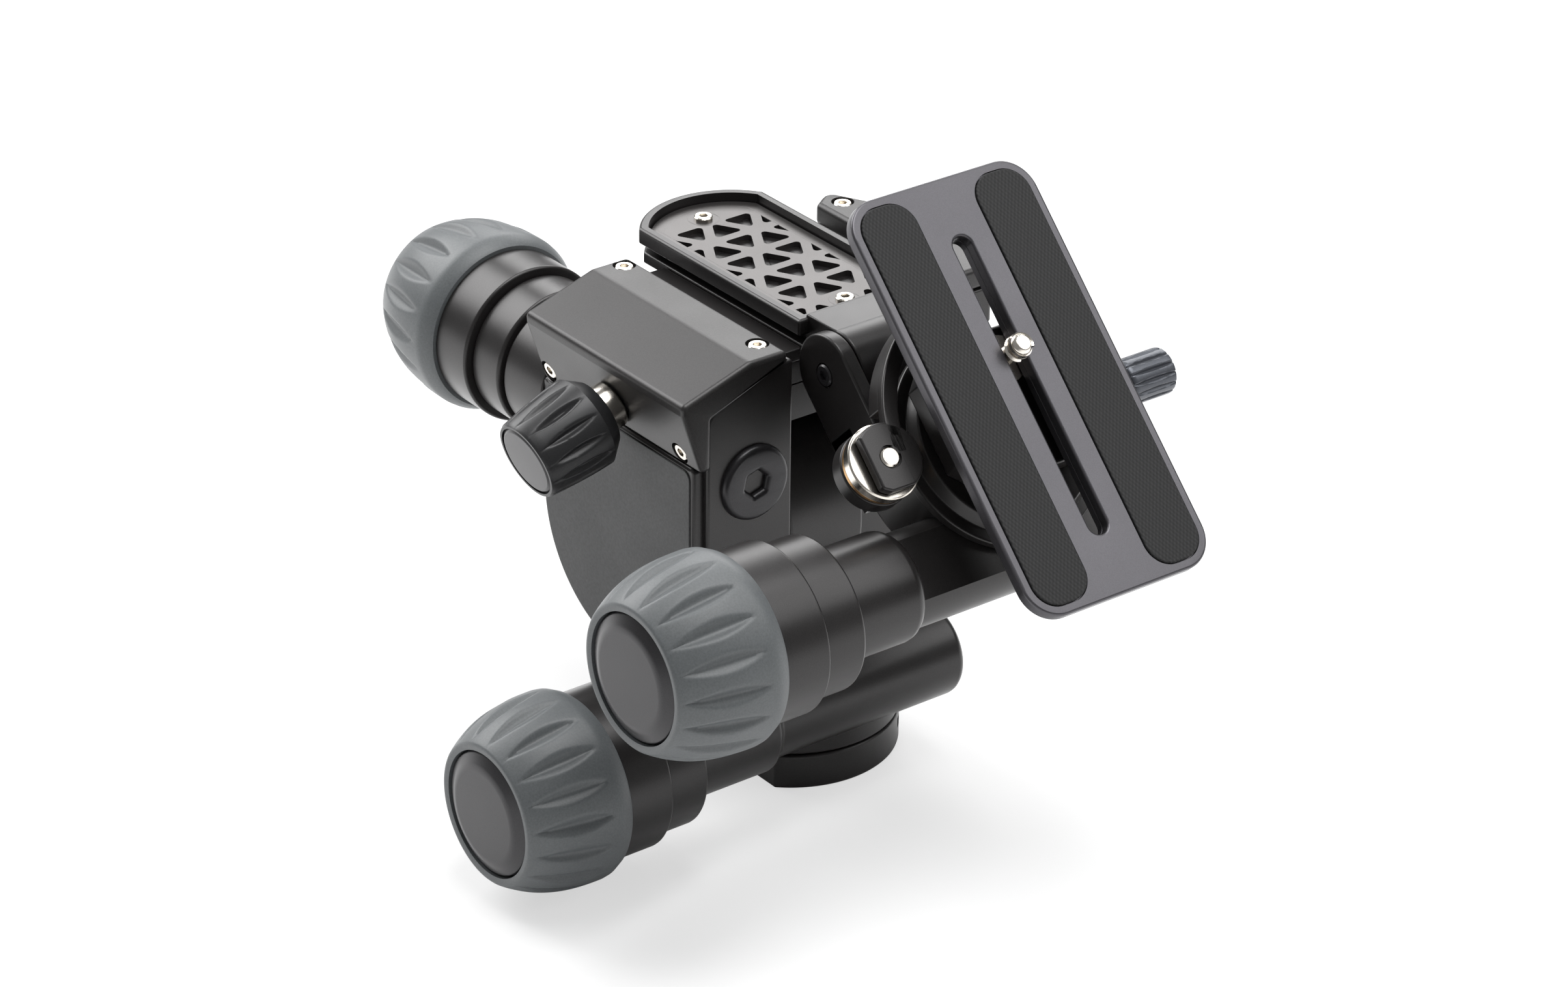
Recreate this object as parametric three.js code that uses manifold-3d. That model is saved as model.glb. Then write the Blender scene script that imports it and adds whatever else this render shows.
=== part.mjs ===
// Geared three-way tripod head with a folding arm and a quick release plate
// Millimetres, +Z up. The origin is the middle of the base's underside, on the pan axis.
// X runs along the top rail, Y along the two lower worm housings.

import * as THREE from "three";
import { mergeVertices } from "three/addons/utils/BufferGeometryUtils.js";
import Module from "manifold-3d";

const wasm = await Module();
wasm.setup();

// Fits shared by all pieces
const SEAT_GAP = 0.3;
const TOUCH_GAP = 0.1;
const RUN_GAP = 0.5;
const OVERRUN = 1;
const EDGE_BEVEL = 0.8;

// Facets round one turn
const COARSE = 12;
const MEDIUM = 16;
const FINE = 24;
const ARC_STEPS = 7;
const CORNER_STEPS = 2;
const QUARTER_TURN = Math.PI / 2;
const HALF_TURN = Math.PI;
const FULL_TURN = Math.PI * 2;

// Base disc, fixed to the tripod
const BASE_RADIUS = 28.4;
const BASE_HEIGHT = 9.6;
const BASE_SOCKET_RADIUS = 4.8;
const BASE_SOCKET_DEPTH = 12;
const BASE_FLAT_REACH = 20;
const BASE_NOTCH_WIDTH = 3;
const BASE_NOTCH_DEPTH = 0.9;
const BASE_NOTCH_HEIGHT = 4.5;
const BASE_NOTCH_DEGREES = 45;
const BASE_KEYWAY_WIDTH = 11;
const BASE_KEYWAY_HEIGHT = 2.6;
const BASE_KEYWAY_DEPTH = 4;
const BASE_KEYWAY_LIFT = 4.2;
const SPINDLE_RADIUS = 10;
const SPINDLE_STEP = 0.8;

// Worm gearing, alike in the three geared joints
const WORM_CENTRES = 22.8;
const WORM_PITCH_RADIUS = 5;
const WHEEL_TEETH = 30;
const WHEEL_WIDTH = 5;
const TOOTH_ADDENDUM = 0.95;
const TOOTH_DEDENDUM = 1.35;
const TOOTH_WIDTH_SHARE = 0.4;
const TOOTH_TIP_SHARE = 0.6;
const WORM_TURNS = 3;
const WORM_STEPS = 8;
const WORM_BODY_RADIUS = 3.6;
const WORM_SHAFT_RADIUS = 3.6;
const WORM_TAIL = 11;

// Drive knob, alike on the three worms
const GRIP_RIM_RADIUS = 24.5;
const GRIP_BACK_RADIUS = 23.2;
const GRIP_BACK_LENGTH = 4.5;
const GRIP_FRONT_LENGTH = 22.3;
const GRIP_LIP_RADIUS = 17.4;
const GRIP_FLUTES = 18;
const GRIP_FLUTE_DEPTH = 1.5;
const GRIP_COLUMNS_PER_FLUTE = 2;
const GRIP_BULGE_SHARES = [[0.2, 0.02], [0.45, 0.13], [0.68, 0.37], [0.88, 0.71]];
const GRIP_FLUTE_START_SHARE = 0.1;
const GRIP_FLUTE_END_SHARE = 0.92;
const KNOB_HUB_RADIUS = 14;
const KNOB_CAP_RADIUS = 16;
const KNOB_CAP_THICKNESS = 3;
const KNOB_CAP_DOME = 0.7;
const KNOB_CAP_SUNK = 1;
const KNOB_SKIRT_RADIUS = 21.5;
const KNOB_SKIRT_LENGTH = 13.1;
const KNOB_SKIRT_BEVEL = 0.7;

// Twist release ring between each knob and its housing
const RING_RADIUS = 19.4;
const RING_LENGTH = 11.5;
const RING_NOSE_RADIUS = 9;
const RING_NOSE_PLAY = 0.4;

// Pan housing
const PAN_WORM_HEIGHT = 26;
const PAN_TUBE_FRONT = 56.5;
const PAN_TUBE_BACK = 30;
const PAN_TUBE_RADIUS = 12.3;
const PAN_COLLAR_RADIUS = 14.5;
const PAN_COLLAR_END = 31;
const PAN_END_ROUND = 2;
const PAN_END_BULGE_SHARE = 0.3;
const PAN_POT_RADIUS = 24.5;
const PAN_POT_TOP = 32;
const PAN_SKIRT_TOP = 18;
const UPRIGHT_HALF_WIDTH = 11.7;
const UPRIGHT_FOOT_HALF_LENGTH = 19;
const SET_SCREW_RADIUS = 1.7;
const SET_SCREW_LENGTH = 4;
const PAN_SCREW_FAR = 20.2;
const PAN_SCREW_NEAR = 43;

// Tilt axis, above and behind the pan axis
const TILT_AXIS_SETBACK = 15.2;
const TILT_GEAR_SIDE = 24.4;
const TILT_TUBE_FRONT = 50.7;
const TILT_TUBE_RADIUS = 18.2;
const TILT_TUBE_CORE_RADIUS = 14.6;
const TILT_AXLE_RADIUS = 6;
const TILT_AXLE_NEAR = 38;
const TILT_AXLE_FAR = 30;

// Tilting frame that straddles the upright
const LEG_RADIUS = 34.7;
const LEG_LIFT = 4;
const LEG_STEP = 3.7;
const LEG_SKIN = 6;
const LEG_SKIN_FRONT = 29.6;
const LEG_CLEARANCE = 1;
const NEAR_LEG_FACE = 41.4;
const FRAME_CLEARANCE = 0.8;
const FAR_LEG_FACE = 36;
const BLOCK_NEAR_FACE = 38.4;
const BLOCK_FRONT = 31.2;
const BLOCK_LOW_DROP = 12.5;
const BLOCK_HIGH_DROP = 3.9;
const BLOCK_FLAT_REACH = 30.7;
const BLOCK_INNER_REACH = 27.1;
const BRIDGE_SETBACK = 6.8;
const BRIDGE_THICKNESS = 10;
const BRIDGE_CLEARANCE = 1.5;
const COLUMN_RADIUS = 7;
const COLUMN_LENGTH = 26;
const END_BOLT_RADIUS = 10;
const END_BOLT_HEAD = 2.6;
const END_BOLT_SHANK_RADIUS = 6.5;
const END_BOLT_SHANK = 8;
const END_BOLT_BEVEL = 1.2;
const END_BOLT_PROUD = 0.6;
const HEX_SOCKET_RADIUS = 3.4;
const HEX_SOCKET_DEPTH = 3.5;
const HEX_SIDES = 6;
const WORM_BORE_RADIUS = 6.6;

// Covers over the tilt gearing
const COVER_BACK = 33.3;
const COVER_FRONT = 33.5;
const COVER_STEP = 1.2;
const COVER_BEND_DROP = 6.5;
const COVER_FLANGE = 17.5;
const COVER_BEND_REACH = 62;
const COVER_FOLD_REACH = 41.8;
const COVER_INNER_REACH = 30.4;
const COVER_FOOT_REACH = 56.4;
const COVER_WALL = 2;
const COVER_EDGE_DROP = 6;
const POST_RADIUS = 3.2;
const FAR_SHELF_REACH = 42;
const FAR_COVER_BACK = 46;
const FAR_COVER_FRONT = 9;
const FAR_COVER_NEAR_REACH = 27.8;
const FAR_COVER_WIDTH = 17.5;
const FAR_COVER_TIP_REACH = 34.5;
const FAR_COVER_TIP = 4.7;
const FAR_COVER_CORNER = 16;
const COVER_SCREW_REACH = 34;
const COVER_SCREW_SPAN = 55.5;
const FLANGE_SCREW_LIFT = 3.1;
const SCREW_HEAD_RADIUS = 2.75;
const SCREW_HEAD_HEIGHT = 1.6;
const SCREW_SHANK_RADIUS = 1.4;
const SCREW_SHANK = 5;
const SCREW_SOCKET_RADIUS = 1.3;
const SCREW_SOCKET_DEPTH = 1;

// Upper centre line and the sliding rail
const UPPER_CENTRE = 14.7;
const RAIL_HALF_WIDTH = 19.8;
const RAIL_RISE = 9.6;
const RAIL_LIP = 4.4;
const RAIL_NECK_HALF_WIDTH = 15.4;
const RAIL_NECK = 2.4;
const RAIL_FOOT_HALF_WIDTH = 18.6;
const RAIL_FOOT = 3.2;
const RAIL_BACK = 58.2;
const RAIL_FRONT = 8.8;
const RAIL_ARC_RADIUS = 23.8;
const TRAY_WALL = 2.4;
const TRAY_DEPTH = 3.4;
const TRAY_SCREW_INSET = 0.8;

// Lattice panel laid in the rail's tray
const PANEL_THICKNESS = 2;
const PANEL_GAP = 0.4;
const LATTICE_PITCH = 10.6;
const LATTICE_STEP = 7.6;
const LATTICE_BASE = 8.5;
const LATTICE_HEIGHT = 7.3;
const LATTICE_CORNER = 1;
const LATTICE_MARGIN = 0.8;
const LATTICE_FRONT = 2.9;
const LATTICE_SIDE = 3.6;
const LATTICE_COLUMNS = 6;
const LATTICE_ROWS = 4;
const TAB_RADIUS = 4.2;

// Small lock knob on the near cover
const LOCK_DROP = 19.1;
const LOCK_KNOB_RADIUS = 11.8;
const LOCK_BACK_RADIUS = 9;
const LOCK_BACK_LENGTH = 4;
const LOCK_FRONT_RADIUS = 10.6;
const LOCK_FRONT_LENGTH = 3;
const LOCK_CAP_RADIUS = 9;
const LOCK_KNOB_LENGTH = 20;
const LOCK_KNOB_STANDOFF = 5.4;
const LOCK_CAP_THICKNESS = 0.8;
const LOCK_COLLAR_RADIUS = 6.2;
const LOCK_SCREW_RADIUS = 2.5;
const LOCK_FLUTES = 12;
const LOCK_FLUTE_DEPTH = 0.9;
const LOCK_SCREW_REACH = 8;
const LOCK_HOLE_REACH = 9;

// Fold hinge at the front end of the rail
const HINGE_FORWARD = 20.8;
const HINGE_RISE = 48.4;
const HINGE_RADIUS = 10.5;
const CHEEK_OUTER = 21.1;
const CHEEK_THICKNESS = 4;
const FOLD_ANGLE = HALF_TURN / 4;
const HINGE_SCREW_RADIUS = 3;
const HINGE_SCREW_FLANGE = 1;
const HINGE_SCREW_LENGTH = 12;
const HINGE_ROOM = 4;

// Rotator, in the folding arm's own frame
const ROTATOR_WORM_REACH = 56.6;
const ROTATOR_WORM_LIFT = 12.9;
const ROTATOR_TUBE_FRONT = 60.5;
const ROTATOR_TUBE_BACK = 24;
const ROTATOR_TUBE_RADIUS = 12;
const ROTATOR_COLLAR_RADIUS = 14;
const ROTATOR_COLLAR_END = 37.4;
const ROTATOR_TOP = 22;
const ROTATOR_BOTTOM = 0.6;
const ROTATOR_POT_RADIUS = 25.5;

// Turntable and clamp
const TABLE_RADIUS = 28.2;
const TABLE_EDGE = 2.6;
const TABLE_CONE = 3.2;
const TABLE_TOP_RADIUS = 23.5;
const TABLE_STEM_RADIUS = 10;
const TABLE_STEM_FOOT = 3.3;
const CLAMP_CENTRE = 28.2;
const CLAMP_HALF_LENGTH = 18.5;
const CLAMP_HALF_WIDTH = 21.2;
const CLAMP_CORNER = 7.6;
const CLAMP_BED_TOP = 36.2;
const CLAMP_JAW_TOP = 42.4;
const CLAMP_SCREW_RADIUS = 1.8;
const CLAMP_SCREW_REACH = 33;
const CLAMP_SCREW_LIFT = 33.4;
const CLAMP_SCREW_INNER = 4;
const CLAMP_SCREW_SEAT = 4.2;
const CLAMP_KNOB_RADIUS = 6;
const CLAMP_KNOB_NEAR = 33;
const CLAMP_KNOB_FAR = 47.6;
const CLAMP_KNOB_FLUTES = 10;
const CLAMP_KNOB_FLUTE_DEPTH = 0.6;
const CLAMP_KNOB_NECK = 4.2;
const CLAMP_KNOB_SHOULDER = 2.4;
const CLAMP_KNOB_BEVEL = 1.2;
const CLAMP_JAW_DEPTH = 7;
const CLAMP_JAW_GAP = 0.8;

// Rotation lock lever on the turntable's lug
const LEVER_PIVOT_REACH = 31.4;
const LEVER_PIVOT_SIDE = 37.4;
const LEVER_THICKNESS = 2.8;
const LEVER_BOSS_RADIUS = 7.7;
const LEVER_ARM_INNER = 32;
const LEVER_ARM_WIDTH = 4.3;
const LEVER_ARM_DEPTH = 7.5;
const LEVER_ARM_SWEEP = 1.25;
const LEVER_RING_RADIUS = 10.3;
const LEVER_RING_HEIGHT = 3;
const LEVER_LUG_RADIUS = 9.6;
const LEVER_LUG_RISE = 2.1;
const LEVER_WASHER_RADIUS = 7.8;
const LEVER_WASHER_THICKNESS = 1;
const LEVER_PIN_RADIUS = 1.9;

// Quick release plate
const PLATE_TOP = 46.2;
const PLATE_HALF_LENGTH = 55;
const PLATE_HALF_WIDTH = 28;
const PLATE_CORNER = 9;
const PLATE_LIP = 3.4;
const PLATE_BEVEL = 0.8;
const PLATE_DOVETAIL_TOP = 15.4;
const PLATE_DOVETAIL_FOOT = 18.6;
const PLATE_DOVETAIL_DEPTH = 6;
const PLATE_DOVETAIL_FLAT = 2.2;
const PLATE_DOVETAIL_INSET = 4;
const PLATE_SLOT_HALF_WIDTH = 2.8;
const PLATE_SLOT_HALF_LENGTH = 39.8;
const PAD_WIDTH = 16;
const PAD_INSET = 2.5;
const PAD_SUNK = 0.9;
const PAD_PROUD = 0.5;
const PAD_CORNER = 6.5;
const GROOVE_HALF_WIDTH = 7;
const GROOVE_DEPTH = 4.4;

// Camera screw in the plate's slot
const CAMERA_SCREW_RADIUS = 3.175;
const CAMERA_SCREW_PROUD = 5;
const CAMERA_SCREW_NECK_RADIUS = 2.3;
const CAMERA_SCREW_HEAD_RADIUS = 6.2;
const CAMERA_SCREW_HEAD = 2.4;
const CAMERA_SCREW_BACK = 9;

// Places worked out from the sizes above
const wheelPitchRadius = WORM_CENTRES - WORM_PITCH_RADIUS;
const wheelTipRadius = wheelPitchRadius + TOOTH_ADDENDUM;
const wheelRootRadius = wheelPitchRadius - TOOTH_DEDENDUM;
const wheelBoreRadius = SPINDLE_RADIUS + SEAT_GAP;
const chamberRadius = wheelTipRadius + RUN_GAP;
const wormPitch = FULL_TURN * wheelPitchRadius / WHEEL_TEETH;
const wormLead = Math.atan2(wormPitch, FULL_TURN * WORM_PITCH_RADIUS);
const wormTipRadius = WORM_PITCH_RADIUS + TOOTH_ADDENDUM;
const tiltAxisHeight = PAN_WORM_HEIGHT + LEG_LIFT + LEG_RADIUS;
const legCoreRadius = LEG_RADIUS - LEG_STEP;
const uprightRadius = legCoreRadius - LEG_CLEARANCE;
const frameBack = legCoreRadius;
const frameDeck = uprightRadius + BRIDGE_CLEARANCE + BRIDGE_THICKNESS;
const bridgeFront = legCoreRadius - BRIDGE_SETBACK;
const tiltWormHeight = tiltAxisHeight + WORM_CENTRES;
const hingeHeight = tiltAxisHeight + HINGE_RISE;
const railTop = hingeHeight + RAIL_RISE;
const coverTop = railTop - COVER_STEP;
const coverBend = coverTop - COVER_BEND_DROP;
const coverFoot = coverBend - COVER_WALL - COVER_FLANGE;
const blockLowTop = coverTop - BLOCK_LOW_DROP;
const blockHighTop = coverTop - BLOCK_HIGH_DROP;
const lockHeight = coverTop - LOCK_DROP;
const rotatorReach = ROTATOR_WORM_REACH - WORM_CENTRES;
const frameInner = UPRIGHT_HALF_WIDTH + FRAME_CLEARANCE;

// Finishes
function finish(color, roughness, metalness) {
  return () => new THREE.MeshStandardMaterial({ color, roughness, metalness });
}
const blackAnodised = finish(0x232325, 0.42, 0.6);
const greyAnodised = finish(0x55555b, 0.4, 0.65);
const darkCasting = finish(0x33363a, 0.6, 0.3);
const gripRubber = finish(0x62686b, 0.75, 0);
const padRubber = finish(0x1b1b1c, 0.9, 0);
const nickel = finish(0xc9c4ba, 0.22, 1);
const bronze = finish(0xa9763f, 0.35, 1);

// Solids
function solid(geometry) {
  geometry.deleteAttribute("normal");
  geometry.deleteAttribute("uv");
  const merged = mergeVertices(geometry);
  const vertProperties = new Float32Array(merged.attributes.position.array);
  const triVerts = new Uint32Array(merged.index.array);
  return new wasm.Manifold(new wasm.Mesh({ numProp: 3, vertProperties, triVerts }));
}

function join(...parts) {
  return parts.reduce((whole, part) => whole.add(part));
}

function cut(whole, ...tools) {
  return tools.reduce((rest, tool) => rest.subtract(tool), whole);
}

function keep(whole, ...masks) {
  return masks.reduce((rest, mask) => rest.intersect(mask), whole);
}

function piece(name, body, material) {
  const { vertProperties, triVerts } = body.getMesh();
  const geometry = new THREE.BufferGeometry();
  geometry.setAttribute("position", new THREE.BufferAttribute(vertProperties, 3));
  geometry.setIndex(new THREE.BufferAttribute(triVerts, 1));
  geometry.computeVertexNormals();
  const mesh = new THREE.Mesh(geometry, material());
  mesh.name = name;
  return mesh;
}

// A box given by its low and high corners
function block(low, high) {
  const geometry = new THREE.BoxGeometry(high[0] - low[0], high[1] - low[1], high[2] - low[2]);
  geometry.translate((low[0] + high[0]) / 2, (low[1] + high[1]) / 2, (low[2] + high[2]) / 2);
  return solid(geometry);
}

// Turns a shape that stands on Z so that it lies along another axis
function along(geometry, axis) {
  if (axis === "x") {
    geometry.rotateY(QUARTER_TURN);
  }
  if (axis === "y") {
    geometry.rotateX(-QUARTER_TURN);
  }
  return geometry;
}

// A round bar along an axis from one station to another, with its centre line at a given place
function bar(axis, radius, from, to, centre, facets = MEDIUM) {
  const geometry = new THREE.CylinderGeometry(radius, radius, to - from, facets);
  geometry.rotateX(QUARTER_TURN);
  geometry.translate(0, 0, (from + to) / 2);
  along(geometry, axis);
  geometry.translate(...centre);
  return solid(geometry);
}

// A turned piece whose profile is a list of [radius, station] pairs that starts and ends on the axis
function turned(axis, profile, centre, facets = MEDIUM) {
  const points = profile.map(([radius, station]) => new THREE.Vector2(radius, station));
  const geometry = new THREE.LatheGeometry(points, facets);
  geometry.rotateX(QUARTER_TURN);
  along(geometry, axis);
  geometry.translate(...centre);
  return solid(geometry);
}

// An outline in X and Z drawn out along Y, or in X and Y drawn up along Z
function drawn(shape, from, to, plane = "xy", curves = CORNER_STEPS) {
  const geometry = new THREE.ExtrudeGeometry(shape, {
    depth: to - from,
    bevelEnabled: false,
    curveSegments: curves,
  });
  geometry.translate(0, 0, from);
  if (plane === "xz") {
    geometry.rotateX(QUARTER_TURN);
    geometry.scale(1, -1, 1);
    flip(geometry);
  }
  if (plane === "yz") {
    geometry.rotateX(QUARTER_TURN);
    geometry.rotateZ(QUARTER_TURN);
  }
  return solid(geometry);
}

// Reverses the faces of a mirrored shape
function flip(geometry) {
  const place = geometry.attributes.position;
  const corner = new THREE.Vector3();
  for (let first = 0; first < place.count; first += 3) {
    corner.fromBufferAttribute(place, first);
    place.setXYZ(first, place.getX(first + 1), place.getY(first + 1), place.getZ(first + 1));
    place.setXYZ(first + 1, corner.x, corner.y, corner.z);
  }
}

function outline(points) {
  return new THREE.Shape(points.map(([x, y]) => new THREE.Vector2(x, y)));
}

// A rectangle with round corners
function roundedRectangle(halfLength, halfWidth, radius, centre = [0, 0]) {
  const [x, y] = centre;
  const shape = new THREE.Shape();
  shape.moveTo(x - halfLength + radius, y - halfWidth);
  shape.lineTo(x + halfLength - radius, y - halfWidth);
  shape.absarc(x + halfLength - radius, y - halfWidth + radius, radius, -QUARTER_TURN, 0);
  shape.lineTo(x + halfLength, y + halfWidth - radius);
  shape.absarc(x + halfLength - radius, y + halfWidth - radius, radius, 0, QUARTER_TURN);
  shape.lineTo(x - halfLength + radius, y + halfWidth);
  shape.absarc(x - halfLength + radius, y + halfWidth - radius, radius, QUARTER_TURN, HALF_TURN);
  shape.lineTo(x - halfLength, y - halfWidth + radius);
  shape.absarc(x - halfLength + radius, y - halfWidth + radius, radius, HALF_TURN, HALF_TURN + QUARTER_TURN);
  return shape;
}

// A closed skin through rings of equal point count, with flat ends
function skinned(rings) {
  const count = rings[0].length;
  const places = rings.flat().flat();
  const faces = [];
  for (let ring = 0; ring + 1 < rings.length; ring += 1) {
    for (let step = 0; step < count; step += 1) {
      const next = (step + 1) % count;
      const low = ring * count;
      const high = low + count;
      faces.push(low + step, low + next, high + next);
      faces.push(low + step, high + next, high + step);
    }
  }
  const flat = rings.map((ring) => ring.map(([x, y]) => new THREE.Vector2(x, y)));
  const last = (rings.length - 1) * count;
  for (const [a, b, c] of THREE.ShapeUtils.triangulateShape(flat[0], [])) {
    faces.push(c, b, a);
  }
  for (const [a, b, c] of THREE.ShapeUtils.triangulateShape(flat[flat.length - 1], [])) {
    faces.push(last + a, last + b, last + c);
  }
  const geometry = new THREE.BufferGeometry();
  geometry.setAttribute("position", new THREE.Float32BufferAttribute(places, 3));
  geometry.setIndex(faces);
  return solid(geometry);
}

// Worm wheel about Y, its middle one worm centre distance from the worm, with a gap facing the worm
function wormWheel() {
  const pitchAngle = FULL_TURN / WHEEL_TEETH;
  const twist = WHEEL_WIDTH * Math.tan(wormLead) / wheelPitchRadius;
  const rootHalf = pitchAngle * TOOTH_WIDTH_SHARE / 2;
  const tipHalf = rootHalf * TOOTH_TIP_SHARE;
  const ring = (height, turn) => {
    const points = [];
    for (let tooth = 0; tooth < WHEEL_TEETH; tooth += 1) {
      const middle = pitchAngle * tooth + pitchAngle / 2 + turn;
      const corners = [
        [wheelRootRadius, middle - rootHalf],
        [wheelTipRadius, middle - tipHalf],
        [wheelTipRadius, middle + tipHalf],
        [wheelRootRadius, middle + rootHalf],
      ];
      for (const [radius, angle] of corners) {
        points.push([radius * Math.cos(angle), radius * Math.sin(angle), height]);
      }
    }
    return points;
  };
  const teeth = skinned([ring(-WHEEL_WIDTH / 2, -twist / 2), ring(WHEEL_WIDTH / 2, twist / 2)]);
  const bore = bar("z", wheelBoreRadius, -WHEEL_WIDTH, WHEEL_WIDTH, [0, 0, 0], COARSE);
  return cut(teeth, bore).rotate([90, 0, 0]).translate([-WORM_CENTRES, 0, 0]);
}

// Worm on Z: a shaft from the knob to the tail with one helical thread in its middle
function worm(front) {
  const rootHalf = wormPitch * TOOTH_WIDTH_SHARE / 2;
  const tipHalf = rootHalf * TOOTH_TIP_SHARE;
  const inner = WORM_BODY_RADIUS - SEAT_GAP;
  const steps = WORM_TURNS * WORM_STEPS;
  const rings = [];
  for (let step = 0; step <= steps; step += 1) {
    const turn = FULL_TURN * (step - steps / 2) / WORM_STEPS;
    const angle = HALF_TURN + turn;
    const height = wormPitch * turn / FULL_TURN;
    const section = [
      [inner, height - rootHalf],
      [wormTipRadius, height - tipHalf],
      [wormTipRadius, height + tipHalf],
      [inner, height + rootHalf],
    ];
    rings.push(section.map(([radius, z]) => [radius * Math.cos(angle), radius * Math.sin(angle), z]));
  }
  const count = rings[0].length;
  const faces = [];
  for (let ring = 0; ring < steps; ring += 1) {
    for (let corner = 0; corner < count; corner += 1) {
      const next = (corner + 1) % count;
      const low = ring * count;
      const high = low + count;
      faces.push(low + corner, high + next, low + next);
      faces.push(low + corner, high + corner, high + next);
    }
  }
  const last = steps * count;
  faces.push(0, 1, 2, 0, 2, 3);
  faces.push(last, last + 2, last + 1, last, last + 3, last + 2);
  const geometry = new THREE.BufferGeometry();
  geometry.setAttribute("position", new THREE.Float32BufferAttribute(rings.flat().flat(), 3));
  geometry.setIndex(faces);
  const thread = solid(geometry);
  const shaft = bar("z", WORM_SHAFT_RADIUS, -front, WORM_TAIL, [0, 0, 0], WORM_STEPS);
  return join(shaft, thread);
}

// Stations of the knob stack ahead of a housing's front face, measured from that face
const ringBack = RUN_GAP;
const ringFront = ringBack + RING_LENGTH;
const skirtBack = ringFront + RUN_GAP;
const skirtFront = skirtBack + KNOB_SKIRT_LENGTH;
const gripBack = skirtFront;
const gripRim = gripBack + GRIP_BACK_LENGTH;
const gripFront = gripRim + GRIP_FRONT_LENGTH;
const capBack = gripFront - KNOB_CAP_SUNK - KNOB_CAP_THICKNESS;
const hubFront = capBack - SEAT_GAP;

// Barrel grip with lens shaped flutes, turned about Z with its front towards -Z
function gripBarrel() {
  const columns = GRIP_FLUTES * GRIP_COLUMNS_PER_FLUTE;
  const drop = GRIP_RIM_RADIUS - GRIP_LIP_RADIUS;
  const stations = [[-gripBack, GRIP_BACK_RADIUS, 0], [-gripRim, GRIP_RIM_RADIUS, 0]];
  const fluteSpan = GRIP_FLUTE_END_SHARE - GRIP_FLUTE_START_SHARE;
  for (const [place, fall] of GRIP_BULGE_SHARES) {
    const lens = Math.max(0, Math.sin(HALF_TURN * (place - GRIP_FLUTE_START_SHARE) / fluteSpan));
    const inside = place < GRIP_FLUTE_END_SHARE ? lens : 0;
    const station = -gripRim - GRIP_FRONT_LENGTH * place;
    stations.push([station, GRIP_RIM_RADIUS - drop * fall, GRIP_FLUTE_DEPTH * inside]);
  }
  stations.push([-gripFront, GRIP_LIP_RADIUS, 0]);
  const rings = stations.map(([z, radius, depth]) => {
    const ring = [];
    for (let column = 0; column < columns; column += 1) {
      const angle = FULL_TURN * column / columns;
      const valley = column % GRIP_COLUMNS_PER_FLUTE === 0 ? depth : 0;
      ring.push([(radius - valley) * Math.cos(angle), (radius - valley) * Math.sin(angle), z]);
    }
    return ring;
  });
  return skinned(rings.reverse());
}

function grip() {
  const bore = bar("z", KNOB_HUB_RADIUS + SEAT_GAP, -gripFront - OVERRUN, -gripBack + OVERRUN, [0, 0, 0]);
  const recess = bar("z", KNOB_CAP_RADIUS + SEAT_GAP, -gripFront - OVERRUN, -hubFront, [0, 0, 0]);
  return cut(gripBarrel(), bore, recess);
}

function knobCore() {
  const front = -hubFront;
  const shoulder = -gripBack + SEAT_GAP;
  const back = -skirtBack;
  const profile = [
    [0, front],
    [KNOB_HUB_RADIUS, front],
    [KNOB_HUB_RADIUS, shoulder],
    [KNOB_SKIRT_RADIUS, shoulder],
    [KNOB_SKIRT_RADIUS, back - KNOB_SKIRT_BEVEL],
    [KNOB_SKIRT_RADIUS - KNOB_SKIRT_BEVEL, back],
    [0, back],
  ];
  const body = turned("z", profile, [0, 0, 0]);
  const bore = bar("z", WORM_SHAFT_RADIUS + SEAT_GAP, front - OVERRUN, back + OVERRUN, [0, 0, 0], WORM_STEPS);
  return cut(body, bore);
}

function knobCap() {
  const front = -gripFront + KNOB_CAP_SUNK;
  const profile = [
    [0, front - KNOB_CAP_DOME],
    [KNOB_CAP_RADIUS / 2, front - KNOB_CAP_DOME],
    [KNOB_CAP_RADIUS - EDGE_BEVEL, front],
    [KNOB_CAP_RADIUS, front + EDGE_BEVEL],
    [KNOB_CAP_RADIUS, -capBack],
    [0, -capBack],
  ];
  return turned("z", profile, [0, 0, 0]);
}

function releaseRing() {
  const body = bar("z", RING_RADIUS, -ringFront, -ringBack, [0, 0, 0]);
  const noseRoom = RING_NOSE_RADIUS + RING_NOSE_PLAY;
  const bore = bar("z", noseRoom, -ringFront - OVERRUN, -ringBack + OVERRUN, [0, 0, 0], COARSE);
  return cut(body, bore);
}

// Housing nose that carries the release ring, with room for the worm shaft
function nose(front) {
  return bar("z", RING_NOSE_RADIUS, -front - ringFront + RUN_GAP, -front + OVERRUN, [0, 0, 0], COARSE);
}

function shaftBore(front) {
  const room = WORM_SHAFT_RADIUS + RING_NOSE_PLAY;
  const slim = bar("z", room, -front - ringFront - OVERRUN, 0, [0, 0, 0], WORM_STEPS);
  const wide = bar("z", WORM_BORE_RADIUS, -wormPitch * WORM_TURNS, WORM_TAIL + RUN_GAP, [0, 0, 0], COARSE);
  return join(slim, wide);
}

// Places a solid made about a worm's Z axis: worms along Y, or along X with the wheel below
function onY(body, reach, height) {
  return body.rotate([-90, 0, 0]).translate([reach, 0, height]);
}

function onX(body, setback, side, height) {
  return body.rotate([0, 0, 180]).rotate([0, 90, 0]).translate([-setback, -side, height]);
}

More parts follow.
